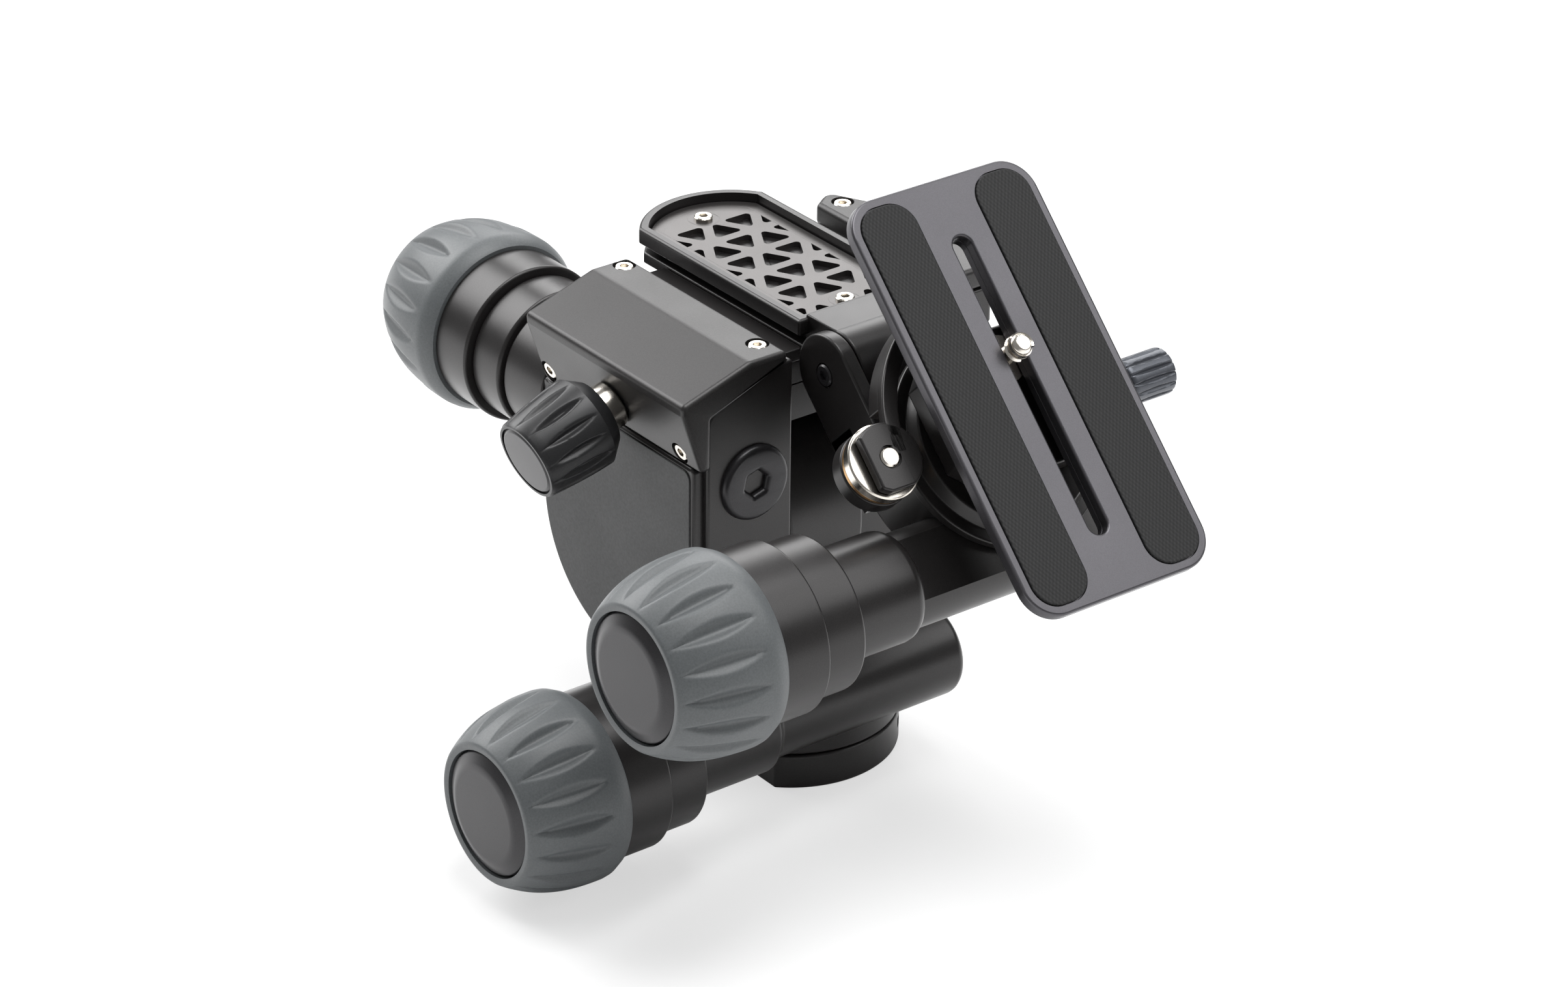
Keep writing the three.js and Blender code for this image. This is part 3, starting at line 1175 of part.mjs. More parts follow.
const tableBottom = ROTATOR_TOP + SEAT_GAP + TOUCH_GAP;
const tableTop = tableBottom + TABLE_EDGE;
const lugTop = tableTop + LEVER_LUG_RISE;
const leverPivot = [LEVER_PIVOT_REACH, -LEVER_PIVOT_SIDE, 0];

// Turntable with the stem that holds the wheel and the lug that carries the lever
function turntable() {
  const disc = bar("z", TABLE_RADIUS, tableBottom, tableTop, [rotatorReach, 0, 0], FINE);
  const cone = turned("z", [
    [0, tableTop - OVERRUN],
    [TABLE_TOP_RADIUS + TABLE_CONE / 2, tableTop - OVERRUN],
    [TABLE_TOP_RADIUS, tableTop + TABLE_CONE],
    [0, tableTop + TABLE_CONE],
  ], [rotatorReach, 0, 0], FINE);
  const stem = bar("z", TABLE_STEM_RADIUS, tableStemBottom, tableTop, [rotatorReach, 0, 0], COARSE);
  const lug = bar("z", LEVER_LUG_RADIUS, tableBottom, lugTop, leverPivot, MEDIUM);
  const pinRadius = LEVER_PIN_RADIUS + SEAT_GAP;
  const pinRoom = bar("z", pinRadius, tableBottom - OVERRUN, lugTop + OVERRUN, leverPivot, COARSE);
  return cut(join(disc, cone, stem, lug), pinRoom);
}

const plateBack = CLAMP_CENTRE - PLATE_HALF_LENGTH;
const plateFront = CLAMP_CENTRE + PLATE_HALF_LENGTH;
const clampScrewPlace = [CLAMP_SCREW_REACH, 0, CLAMP_SCREW_LIFT];

// Outline of the clamp body: a square with cut corners
function clampOutline(halfLength, near, far) {
  const back = CLAMP_CENTRE - halfLength;
  const front = CLAMP_CENTRE + halfLength;
  return outline([
    [back + CLAMP_CORNER, near], [front - CLAMP_CORNER, near],
    [front, near + CLAMP_CORNER], [front, far - CLAMP_CORNER],
    [front - CLAMP_CORNER, far], [back + CLAMP_CORNER, far],
    [back, far - CLAMP_CORNER], [back, near + CLAMP_CORNER],
  ]);
}

// Section of the plate's dovetail, grown by a clearance
function dovetail(from, to, clearance, drop) {
  const top = PLATE_TOP - PLATE_LIP;
  const foot = top - PLATE_DOVETAIL_DEPTH;
  const neck = PLATE_DOVETAIL_TOP + clearance;
  const wide = PLATE_DOVETAIL_FOOT + clearance;
  const section = outline([
    [-neck, top + drop], [-neck, top],
    [-wide, foot + PLATE_DOVETAIL_FLAT], [-wide, foot - drop],
    [wide, foot - drop], [wide, foot + PLATE_DOVETAIL_FLAT],
    [neck, top], [neck, top + drop],
  ].reverse());
  return drawn(section, from, to, "yz");
}

function clampBed() {
  const shape = clampOutline(CLAMP_HALF_LENGTH, -CLAMP_HALF_WIDTH, CLAMP_HALF_WIDTH);
  const body = drawn(shape, tableTop + TABLE_CONE + TOUCH_GAP, CLAMP_JAW_TOP);
  const room = dovetail(plateBack, plateFront, SEAT_GAP, SEAT_GAP);
  const jawRoom = block(
    [plateBack, PLATE_DOVETAIL_TOP - CLAMP_JAW_GAP, CLAMP_BED_TOP + SEAT_GAP],
    [plateFront, CLAMP_HALF_WIDTH + OVERRUN, CLAMP_JAW_TOP + OVERRUN],
  );
  const screwHole = bar(
    "y", CLAMP_SCREW_RADIUS + SEAT_GAP, CLAMP_SCREW_INNER - SEAT_GAP, CLAMP_HALF_WIDTH + OVERRUN,
    clampScrewPlace, COARSE,
  );
  return cut(body, room, jawRoom, screwHole);
}

// Moving jaw, an angle piece held against the bed by the clamp screw
function clampJaw() {
  const near = PLATE_DOVETAIL_TOP;
  const far = CLAMP_HALF_WIDTH + CLAMP_JAW_DEPTH;
  const shape = clampOutline(CLAMP_HALF_LENGTH, -CLAMP_HALF_WIDTH, far);
  const body = drawn(shape, tableTop + TABLE_CONE + SEAT_GAP, CLAMP_JAW_TOP);
  const front = block(
    [plateBack, -PLATE_HALF_LENGTH, 0],
    [plateFront, CLAMP_HALF_WIDTH + SEAT_GAP, CLAMP_BED_TOP + SEAT_GAP + RUN_GAP],
  );
  const side = block([plateBack, -PLATE_HALF_LENGTH, 0], [plateFront, near, PLATE_TOP]);
  const room = dovetail(plateBack, plateFront, SEAT_GAP, SEAT_GAP);
  const screwHole = bar("y", CLAMP_SCREW_RADIUS + SEAT_GAP, 0, PLATE_HALF_LENGTH, clampScrewPlace, COARSE);
  return cut(body, front, side, room, screwHole);
}

function clampScrew() {
  const far = CLAMP_KNOB_NEAR + CLAMP_SCREW_SEAT;
  return bar("y", CLAMP_SCREW_RADIUS, CLAMP_SCREW_INNER, far, clampScrewPlace, COARSE);
}

function clampKnob() {
  const ring = (radius, depth, z) => flutedRing(CLAMP_KNOB_FLUTES, radius, depth, z);
  const body = skinned([
    ring(CLAMP_KNOB_NECK, 0, CLAMP_KNOB_NEAR),
    ring(CLAMP_KNOB_RADIUS, CLAMP_KNOB_FLUTE_DEPTH, CLAMP_KNOB_NEAR + CLAMP_KNOB_SHOULDER),
    ring(CLAMP_KNOB_RADIUS, CLAMP_KNOB_FLUTE_DEPTH, CLAMP_KNOB_FAR - CLAMP_KNOB_BEVEL),
    ring(CLAMP_KNOB_RADIUS - CLAMP_KNOB_BEVEL, 0, CLAMP_KNOB_FAR),
  ]);
  const boreEnd = CLAMP_KNOB_NEAR + CLAMP_SCREW_SEAT + SEAT_GAP;
  const bore = bar("z", CLAMP_SCREW_RADIUS + SEAT_GAP, 0, boreEnd, [0, 0, 0], COARSE);
  return cut(body, bore).rotate([-90, 0, 0]).translate(clampScrewPlace);
}

// Lever, its ring, washer and pin, on the lug
const washerBottom = lugTop + TOUCH_GAP;
const ringBottom = washerBottom + LEVER_WASHER_THICKNESS + TOUCH_GAP;
const leverBottom = ringBottom + LEVER_RING_HEIGHT + SEAT_GAP;
const leverTop = leverBottom + LEVER_THICKNESS;

function annulus(outer, from, to) {
  const body = bar("z", outer, from, to, [0, 0, 0], MEDIUM);
  const bore = bar("z", LEVER_PIN_RADIUS + SEAT_GAP, from - OVERRUN, to + OVERRUN, [0, 0, 0], COARSE);
  return cut(body, bore).translate(leverPivot);
}

function lever() {
  const boss = annulus(LEVER_BOSS_RADIUS, leverBottom, leverTop);
  const armBottom = leverTop - LEVER_ARM_DEPTH;
  const outer = LEVER_ARM_INNER + LEVER_ARM_WIDTH;
  const start = -Math.atan2(LEVER_PIVOT_SIDE, LEVER_PIVOT_REACH - rotatorReach);
  const end = start - LEVER_ARM_SWEEP;
  const shape = new THREE.Shape();
  shape.moveTo(rotatorReach + LEVER_ARM_INNER * Math.cos(start), LEVER_ARM_INNER * Math.sin(start));
  shape.lineTo(rotatorReach + outer * Math.cos(start), outer * Math.sin(start));
  shape.absarc(rotatorReach, 0, outer, start, end, true);
  shape.lineTo(rotatorReach + LEVER_ARM_INNER * Math.cos(end), LEVER_ARM_INNER * Math.sin(end));
  shape.absarc(rotatorReach, 0, LEVER_ARM_INNER, end, start, false);
  const arm = drawn(shape, armBottom, leverTop, "xy", ARC_STEPS);
  const room = bar("z", LEVER_RING_RADIUS + RUN_GAP, armBottom - OVERRUN, leverBottom, leverPivot, MEDIUM);
  const bore = bar("z", LEVER_PIN_RADIUS + SEAT_GAP, leverBottom - OVERRUN, PLATE_TOP, leverPivot, COARSE);
  return cut(join(boss, cut(arm, room)), bore);
}

function leverPin() {
  return bar("z", LEVER_PIN_RADIUS, tableBottom + SEAT_GAP, leverTop + SEAT_GAP, leverPivot, COARSE);
}

const plateLedge = PLATE_TOP - PLATE_LIP - PLATE_DOVETAIL_DEPTH + GROOVE_DEPTH;

// Quick release plate with its dovetail, slot and pad pockets
function quickPlate() {
  const top = PLATE_TOP;
  const shape = roundedRectangle(PLATE_HALF_LENGTH, PLATE_HALF_WIDTH, PLATE_CORNER, [CLAMP_CENTRE, 0]);
  const inner = roundedRectangle(
    PLATE_HALF_LENGTH - PLATE_BEVEL, PLATE_HALF_WIDTH - PLATE_BEVEL, PLATE_CORNER - PLATE_BEVEL,
    [CLAMP_CENTRE, 0],
  );
  const slab = drawn(shape, top - PLATE_LIP, top - PLATE_BEVEL, "xy", CORNER_STEPS);
  const edge = drawn(inner, top - PLATE_BEVEL - OVERRUN, top, "xy", CORNER_STEPS);
  const back = plateBack + PLATE_DOVETAIL_INSET;
  const front = plateFront - PLATE_DOVETAIL_INSET;
  const foot = dovetail(back, front, 0, 0);
  const neck = block(
    [back, -PLATE_DOVETAIL_TOP, top - PLATE_LIP - OVERRUN],
    [front, PLATE_DOVETAIL_TOP, top - OVERRUN],
  );
  const slot = drawn(
    roundedRectangle(PLATE_SLOT_HALF_LENGTH, PLATE_SLOT_HALF_WIDTH, PLATE_SLOT_HALF_WIDTH, [CLAMP_CENTRE, 0]),
    0, top + OVERRUN,
  );
  const groove = block([plateBack, -GROOVE_HALF_WIDTH, 0], [plateFront, GROOVE_HALF_WIDTH, plateLedge]);
  return cut(join(slab, edge, foot, neck), slot, groove, ...[-1, 1].map((side) => padBody(side, TOUCH_GAP)));
}

function padBody(side, clearance) {
  const half = PAD_WIDTH / 2 + clearance;
  const middle = side * (PLATE_HALF_WIDTH - PAD_INSET - PAD_WIDTH / 2);
  const halfLength = PLATE_HALF_LENGTH - PAD_INSET + clearance;
  const shape = roundedRectangle(halfLength, half, PAD_CORNER + clearance, [CLAMP_CENTRE, middle]);
  return drawn(shape, PLATE_TOP - PAD_SUNK - clearance, PLATE_TOP + PAD_PROUD, "xy", CORNER_STEPS);
}

const cameraScrewReach = CLAMP_CENTRE - CAMERA_SCREW_BACK;

function cameraScrew() {
  const headTop = plateLedge - SEAT_GAP;
  const threadFoot = PLATE_TOP + SEAT_GAP;
  const head = bar("z", CAMERA_SCREW_HEAD_RADIUS, headTop - CAMERA_SCREW_HEAD, headTop, [0, 0, 0], MEDIUM);
  const neck = bar("z", CAMERA_SCREW_NECK_RADIUS, headTop - OVERRUN, threadFoot + OVERRUN, [0, 0, 0], COARSE);
  const thread = bar("z", CAMERA_SCREW_RADIUS, threadFoot, PLATE_TOP + CAMERA_SCREW_PROUD, [0, 0, 0], COARSE);
  return join(head, neck, thread).translate([cameraScrewReach, 0, 0]);
}

const group = new THREE.Group();
group.add(piece("base_disc", baseDisc(), blackAnodised));
const panWheel = panPlace(wormWheel());
group.add(piece("pan_wheel", panWheel, bronze));
group.add(piece("pan_housing", panHousing(), blackAnodised));
group.add(piece("tilt_axle", tiltAxle(), nickel));
group.add(piece("tilt_wheel", tiltPlace(wormWheel()), bronze));
group.add(piece("tilt_frame", tiltFrame(), darkCasting));
group.add(piece("end_bolt", endBolt(), nickel));
panScrewStations.forEach((station, index) => {
  group.add(piece(`pan_set_screw_${index + 1}`, setScrew(station), nickel));
});
farScrewSet(buttonScrew()).forEach((body) => group.add(piece("far_cover_screw", body, nickel)));
group.add(...driveKnob("pan", PAN_TUBE_FRONT, panPlace));
group.add(...driveKnob("tilt", TILT_TUBE_FRONT, tiltPlace));
group.add(piece("near_cover", nearCover(), darkCasting));
group.add(piece("far_cover", farCover(), darkCasting));
group.add(piece("lock_knob", lockKnob(), blackAnodised));
group.add(piece("lock_knob_cap", lockCap(), nickel));
group.add(piece("lock_collar", lockCollar(), nickel));
group.add(piece("top_rail", topRail(), blackAnodised));
group.add(piece("lattice_panel", latticePanel(), greyAnodised));
coverScrewSets(buttonScrew()).forEach((body, index) => {
  group.add(piece(`cover_screw_${index + 1}`, body, nickel));
});
panelScrewSet(buttonScrew()).forEach((body, index) => {
  group.add(piece(`panel_screw_${index + 1}`, body, nickel));
});

const arm = new THREE.Group();
arm.position.set(HINGE_FORWARD, UPPER_CENTRE, hingeHeight);
arm.rotation.y = FOLD_ANGLE;
arm.add(piece("yoke", yoke(), blackAnodised));
arm.add(piece("hinge_screw_near", hingeScrew(-1), nickel));
arm.add(piece("hinge_screw_far", hingeScrew(1), nickel));
arm.add(...driveKnob("rotator", ROTATOR_TUBE_FRONT, rotatorPlace));
arm.add(piece("rotator_wheel", rotatorPlace(wormWheel()), bronze));
arm.add(piece("turntable", turntable(), blackAnodised));
arm.add(piece("clamp_bed", clampBed(), blackAnodised));
arm.add(piece("clamp_jaw", clampJaw(), blackAnodised));
arm.add(piece("clamp_screw", clampScrew(), nickel));
arm.add(piece("clamp_knob", clampKnob(), gripRubber));
arm.add(piece("lever", lever(), blackAnodised));
const leverRing = annulus(LEVER_RING_RADIUS, ringBottom, ringBottom + LEVER_RING_HEIGHT);
arm.add(piece("lever_ring", leverRing, nickel));
const washer = annulus(LEVER_WASHER_RADIUS, washerBottom, washerBottom + LEVER_WASHER_THICKNESS);
arm.add(piece("lever_washer", washer, bronze));
arm.add(piece("lever_pin", leverPin(), nickel));
arm.add(piece("quick_plate", quickPlate(), blackAnodised));
arm.add(piece("plate_pad_near", padBody(-1, 0), padRubber));
arm.add(piece("plate_pad_far", padBody(1, 0), padRubber));
arm.add(piece("camera_screw", cameraScrew(), nickel));
group.add(arm);

export default group;
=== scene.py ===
import math
import bmesh
import bpy
from mathutils import Matrix, Vector


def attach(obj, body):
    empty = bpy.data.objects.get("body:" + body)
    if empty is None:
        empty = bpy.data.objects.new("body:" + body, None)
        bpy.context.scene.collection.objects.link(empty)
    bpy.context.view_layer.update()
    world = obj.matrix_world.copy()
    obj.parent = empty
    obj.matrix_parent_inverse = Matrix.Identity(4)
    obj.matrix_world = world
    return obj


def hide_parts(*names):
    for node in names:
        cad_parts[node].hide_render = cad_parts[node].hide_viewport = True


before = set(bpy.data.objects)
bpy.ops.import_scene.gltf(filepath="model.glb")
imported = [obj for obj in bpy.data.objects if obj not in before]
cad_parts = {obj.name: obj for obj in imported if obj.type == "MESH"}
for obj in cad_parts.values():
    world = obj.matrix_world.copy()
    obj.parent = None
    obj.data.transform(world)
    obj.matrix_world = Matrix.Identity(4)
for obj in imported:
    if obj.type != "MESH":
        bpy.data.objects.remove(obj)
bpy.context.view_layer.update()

# %% [markdown]
# A geared camera head is mostly turned tubes, milled plates and three rubber grips.
# The frame that was loaded gives every solid its place, so each piece here is drawn in
# millimetres in the frame of the part that carries it, and its mesh is then moved there.
# The object itself stays at the origin, so that a pattern never slides over it.

# %% Frames of the moving parts
MM = 0.001
TURN = math.tau

def moved(x, y, z):
    return Matrix.Translation((x, y, z))

def turned(degrees, axis):
    return Matrix.Rotation(math.radians(degrees), 4, axis)

ROW = Matrix.Identity(4)
ARM = moved(20.8, 14.7, 113.1) @ turned(45, "Y")
PAN = moved(22.8, 0, 26) @ turned(-90, "X")
TILT = moved(-15.2, -24.4, 87.5) @ turned(90, "Y") @ turned(180, "Z")
ROTATOR = ARM @ moved(56.6, 0, 12.9) @ turned(-90, "X")
UPPER = 14.7
AXLE_X = -15.2
AXLE_Z = 64.7
XZ = turned(90, "X")
YZ = Matrix(((0, 0, 1, 0), (1, 0, 0, 0), (0, 1, 0, 0), (0, 0, 0, 1)))
print("frames: row, arm, three worms")

# %% [markdown]
# Machined parts have no sharp edges: each one is broken by a small round that catches the
# light. So flat outlines get their corners filleted before they are drawn out or turned,
# and the drawing-out itself leaves a soft edge.

# %% Outlines with filleted corners
def filleted(points, radii, closed=True, steps=5):
    if not hasattr(radii, "__len__"):
        radii = [radii] * len(points)
    out = []
    count = len(points)
    for i, (point, radius) in enumerate(zip(points, radii)):
        p = Vector(point)
        if radius <= 0 or (not closed and i in (0, count - 1)):
            out.append(tuple(p))
            continue
        a, b = Vector(points[i - 1]) - p, Vector(points[(i + 1) % count]) - p
        if a.length < 1e-6 or b.length < 1e-6 or a.angle(b) > 3.1:
            out.append(tuple(p))
            continue
        angle = a.angle(b)
        cut = min(radius / math.tan(angle / 2), 0.49 * a.length, 0.49 * b.length)
        r = cut * math.tan(angle / 2)
        start, end = p + a.normalized() * cut, p + b.normalized() * cut
        middle = p + (a.normalized() + b.normalized()).normalized() * (r / math.sin(angle / 2))
        s, e = start - middle, end - middle
        sweep = math.atan2(s.x * e.y - s.y * e.x, s.dot(e))
        for k in range(steps + 1):
            c, d = math.cos(sweep * k / steps), math.sin(sweep * k / steps)
            out.append((middle.x + s.x * c - s.y * d, middle.y + s.x * d + s.y * c))
    return out

def arc(cx, cy, radius, start, end, steps=24):
    spots = [start + (end - start) * k / steps for k in range(steps + 1)]
    return [(cx + radius * math.cos(a), cy + radius * math.sin(a)) for a in spots]

def circle(cx, cy, radius, steps=64):
    return arc(cx, cy, radius, 0, TURN * (1 - 1 / steps), steps - 1)

def box_outline(x0, y0, x1, y1, radius=0.0, steps=8):
    return filleted([(x0, y0), (x1, y0), (x1, y1), (x0, y1)], radius, steps=steps)

print("outlines: arc, circle, box")

# %% Meshes from outlines
def link(name, mesh):
    obj = bpy.data.objects.new(name, mesh)
    bpy.context.scene.collection.objects.link(obj)
    return obj

def keep_mesh(obj, name):
    graph = bpy.context.evaluated_depsgraph_get()
    mesh = bpy.data.meshes.new_from_object(obj.evaluated_get(graph))
    bpy.data.objects.remove(obj)
    return link(name, mesh)

def cleaned(obj, merge=1e-4, angle=32):
    work = bmesh.new()
    work.from_mesh(obj.data)
    bmesh.ops.remove_doubles(work, verts=work.verts, dist=merge)
    bmesh.ops.recalc_face_normals(work, faces=work.faces)
    work.to_mesh(obj.data)
    work.free()
    obj.data.shade_smooth()
    obj.data.set_sharp_from_angle(angle=math.radians(angle))
    return obj

def placed(obj, place):
    obj.data.transform(Matrix.Diagonal((MM, MM, MM, 1)) @ place)
    return obj

def revolve(name, profile, place=ROW, radii=0.4, steps=96, ring=False, angle=30):
    points = filleted(profile, radii, closed=ring, steps=4)
    vertices, faces, rows = [], [], []
    for radius, height in points:
        count = 1 if radius < 1e-6 else steps
        rows.append([len(vertices) + k for k in range(count)])
        for k in range(count):
            a = TURN * k / steps
            vertices.append((radius * math.cos(a), radius * math.sin(a), height))
    pairs = list(zip(rows, rows[1:] + rows[:1])) if ring else list(zip(rows, rows[1:]))
    for low, high in pairs:
        for k in range(steps):
            n = (k + 1) % steps
            if len(low) == 1 and len(high) > 1:
                faces.append((low[0], high[n], high[k]))
            elif len(high) == 1 and len(low) > 1:
                faces.append((low[k], low[n], high[0]))
            elif len(low) > 1:
                faces.append((low[k], low[n], high[n], high[k]))
    mesh = bpy.data.meshes.new(name)
    mesh.from_pydata(vertices, [], faces)
    return placed(cleaned(link(name, mesh), angle=angle), place)

def prism(name, outlines, low, high, place=ROW, edge=0.4, angle=32):
    curve = bpy.data.curves.new(name, "CURVE")
    curve.dimensions = "2D"
    curve.fill_mode = "BOTH"
    for points in outlines:
        spline = curve.splines.new("POLY")
        spline.points.add(len(points) - 1)
        for spot, (x, y) in zip(spline.points, points):
            spot.co = (x, y, 0, 1)
        spline.use_cyclic_u = True
    curve.offset = -edge
    curve.bevel_depth = edge
    curve.bevel_resolution = 2
    curve.extrude = max((high - low) / 2 - edge, 0)
    obj = bpy.data.objects.new(name, curve)
    bpy.context.scene.collection.objects.link(obj)
    bpy.context.view_layer.update()
    obj = cleaned(keep_mesh(obj, name), angle=angle)
    obj.data.transform(moved(0, 0, (low + high) / 2))
    return placed(obj, place)

def joined(name, *objs):
    with bpy.context.temp_override(active_object=objs[0], selected_editable_objects=list(objs)):
        bpy.ops.object.join()
    objs[0].name = objs[0].data.name = name
    return objs[0]

def carve(obj, *tools):
    for tool in tools:
        change = obj.modifiers.new("cut", "BOOLEAN")
        change.operation = "DIFFERENCE"
        change.solver = "EXACT"
        change.object = tool
    fresh = keep_mesh(obj, obj.name)
    for tool in tools:
        bpy.data.objects.remove(tool)
    fresh.data.shade_smooth()
    fresh.data.set_sharp_from_angle(angle=math.radians(32))
    return fresh

print("meshes: turned, drawn out, joined, carved")

# %% Even shading on large faces
def evened(obj):
    change = obj.modifiers.new("even", "WEIGHTED_NORMAL")
    change.keep_sharp = True
    change.weight = 90
    return keep_mesh(obj, obj.name)

print("large faces keep level normals")

# %% [markdown]
# Trees of nodes are built many times below, for surfaces and for shapes. A small class
# keeps that short: it adds a node, sets its inputs, and links an input whenever the value
# given for it is another node's output. A tree for shapes is closed by Realize Instances,
# which turns copies into real faces, and by Set Material.

# %% A hand for building node trees
class Tree:
    def __init__(self, tree, inputs=(), outputs=()):
        self.tree = tree
        for way, sockets in (("INPUT", inputs), ("OUTPUT", outputs)):
            for label, kind, *value in sockets:
                made = tree.interface.new_socket(label, in_out=way, socket_type="NodeSocket" + kind)
                if value:
                    made.default_value = value[0]
        self.given = tree.nodes.new("NodeGroupInput").outputs if inputs else {}
        self.result = tree.nodes.new("NodeGroupOutput").inputs if outputs else {}

    def link(self, source, target):
        self.tree.links.new(source, target)

    def add(self, kind, settings=None, out=0, **inputs):
        node = self.tree.nodes.new(kind)
        for key, value in (settings or {}).items():
            setattr(node, key, value)
        for key, value in inputs.items():
            label = key.replace("_", " ")
            socket = node.inputs[int(label[1:])] if label[1:].isdigit() else node.inputs[label]
            if isinstance(value, bpy.types.NodeSocket):
                self.link(value, socket)
            else:
                socket.default_value = value
        return node if out is None else node.outputs[out]

    def math(self, operation, *values):
        inputs = {f"i{k}": value for k, value in enumerate(values)}
        return self.add("ShaderNodeMath", {"operation": operation}, **inputs)

    def close(self, geometry, label):
        real = self.add("GeometryNodeRealizeInstances", Geometry=geometry)
        dressed = self.add("GeometryNodeSetMaterial", Geometry=real, Material=self.given["Finish"])
        self.link(dressed, self.result[label])
        print(self.tree.name, len(self.tree.nodes), "nodes")

print("a tree adds, links, calculates and closes")

# %% [markdown]
# Anodised aluminium is never one even colour. The blasting before the dye leaves a fine
# grain, handling leaves faint clouds in the gloss, and both show only close up. One shader
# group makes the grain and one the clouds, and every metal takes them with its own values.

# %% Grain and clouds, shared by all metals and rubbers
grain = Tree(
    bpy.data.node_groups.new("fine grain", "ShaderNodeTree"),
    [("Grain size", "Float", 0.0003), ("Contrast", "Float", 1.0)],
    [("Value", "Float"), ("Height", "Float")],
)
spot = grain.add("ShaderNodeTexCoord", out=3)
per_metre = grain.math("DIVIDE", 1.0, grain.given["Grain size"])
noise = grain.add("ShaderNodeTexNoise", Vector=spot, Scale=per_metre, Detail=2.0, Roughness=0.6)
centred = grain.math("SUBTRACT", noise, 0.5)
spread = grain.math("MULTIPLY", centred, grain.given["Contrast"])
grain.link(grain.math("ADD", spread, 0.5), grain.result["Value"])
grain.link(noise, grain.result["Height"])

clouds = Tree(
    bpy.data.node_groups.new("handling clouds", "ShaderNodeTree"),
    [("Cloud size", "Float", 0.02), ("Low", "Float", 0.3), ("High", "Float", 0.4)],
    [("Roughness", "Float")],
)
spot = clouds.add("ShaderNodeTexCoord", out=3)
per_metre = clouds.math("DIVIDE", 1.0, clouds.given["Cloud size"])
noise = clouds.add("ShaderNodeTexNoise", Vector=spot, Scale=per_metre, Detail=4.0, Roughness=0.55)
span = clouds.math("SUBTRACT", clouds.given["High"], clouds.given["Low"])
clouds.link(clouds.math("MULTIPLY_ADD", noise, span, clouds.given["Low"]), clouds.result["Roughness"])
print("groups: fine grain, handling clouds")

# %% A finish from the two groups
CLOUD = 0.02
RELIEF = 0.00002

def grained(name, dark, light, roughness, metallic, grain_size, bump, contrast=1.6):
    material = bpy.data.materials.new(name)
    material.use_nodes = True
    tree = Tree(material.node_tree)
    shader = material.node_tree.nodes["Principled BSDF"]
    grains = tree.add(
        "ShaderNodeGroup", {"node_tree": grain.tree}, out=None, Grain_size=grain_size, Contrast=contrast
    )
    cloudy = tree.add(
        "ShaderNodeGroup", {"node_tree": clouds.tree}, Cloud_size=CLOUD, Low=roughness[0], High=roughness[1]
    )
    mix = tree.add("ShaderNodeMix", {"data_type": "RGBA"}, out=None)
    tree.link(grains.outputs["Value"], mix.inputs[0])
    mix.inputs[6].default_value = (*dark, 1)
    mix.inputs[7].default_value = (*light, 1)
    tree.link(mix.outputs[2], shader.inputs["Base Color"])
    tree.link(cloudy, shader.inputs["Roughness"])
    relief = tree.add("ShaderNodeBump", Height=grains.outputs["Height"], Strength=bump, Distance=RELIEF)
    tree.link(relief, shader.inputs["Normal"])
    shader.inputs["Metallic"].default_value = metallic
    return material

black = grained("black_anodised", (0.012, 0.011, 0.011), (0.024, 0.022, 0.022), (0.27, 0.39),
                metallic=0.30, grain_size=0.00028, bump=0.5)
grey = grained("grey_anodised", (0.058, 0.054, 0.053), (0.084, 0.079, 0.077), (0.28, 0.40),
               metallic=0.75, grain_size=0.00028, bump=0.45)
textured = grained("fine_textured_coat", (0.012, 0.0125, 0.013), (0.036, 0.037, 0.038), (0.50, 0.62),
                   metallic=0.0, grain_size=0.0007, bump=1.0)
rubber = grained("grip_rubber", (0.066, 0.072, 0.075), (0.098, 0.106, 0.110), (0.42, 0.54),
                 metallic=0.0, grain_size=0.0005, bump=0.45)
nickel = grained("bright_nickel", (0.62, 0.58, 0.52), (0.74, 0.70, 0.64), (0.14, 0.26),
                 metallic=1.0, grain_size=0.0006, bump=0.1, contrast=0.6)
bronze = grained("machined_bronze", (0.42, 0.25, 0.12), (0.56, 0.36, 0.18), (0.26, 0.38),
                 metallic=1.0, grain_size=0.0005, bump=0.2)
satin = grained("satin_cap", (0.016, 0.015, 0.017), (0.030, 0.029, 0.031), (0.26, 0.36),
                metallic=0.45, grain_size=0.00022, bump=0.4)
cover_black = grained("cover_black", (0.016, 0.015, 0.015), (0.034, 0.032, 0.032), (0.32, 0.44),
                      metallic=0.35, grain_size=0.00034, bump=0.7)
plate_grey = grained("plate_grey", (0.068, 0.066, 0.072), (0.096, 0.093, 0.101), (0.30, 0.42),
                     metallic=0.75, grain_size=0.00022, bump=0.3)
grip_black = grained("knob_black", (0.010, 0.010, 0.011), (0.020, 0.020, 0.021), (0.34, 0.46),
                     metallic=0.2, grain_size=0.0003, bump=0.5)
blue_grey = grained("blue_grey_anodised", (0.060, 0.064, 0.074), (0.090, 0.096, 0.110), (0.30, 0.42),
                    metallic=0.6, grain_size=0.0003, bump=0.4)
print("finishes:", ", ".join(m.name for m in bpy.data.materials))

# %% [markdown]
# The two pads are rubber with a fine woven face, which keeps a camera from turning.
# The weave lies along the plate, so the pattern turns Object coordinates by the arm's
# 45 degrees and makes two crossed rows of threads from sine waves.

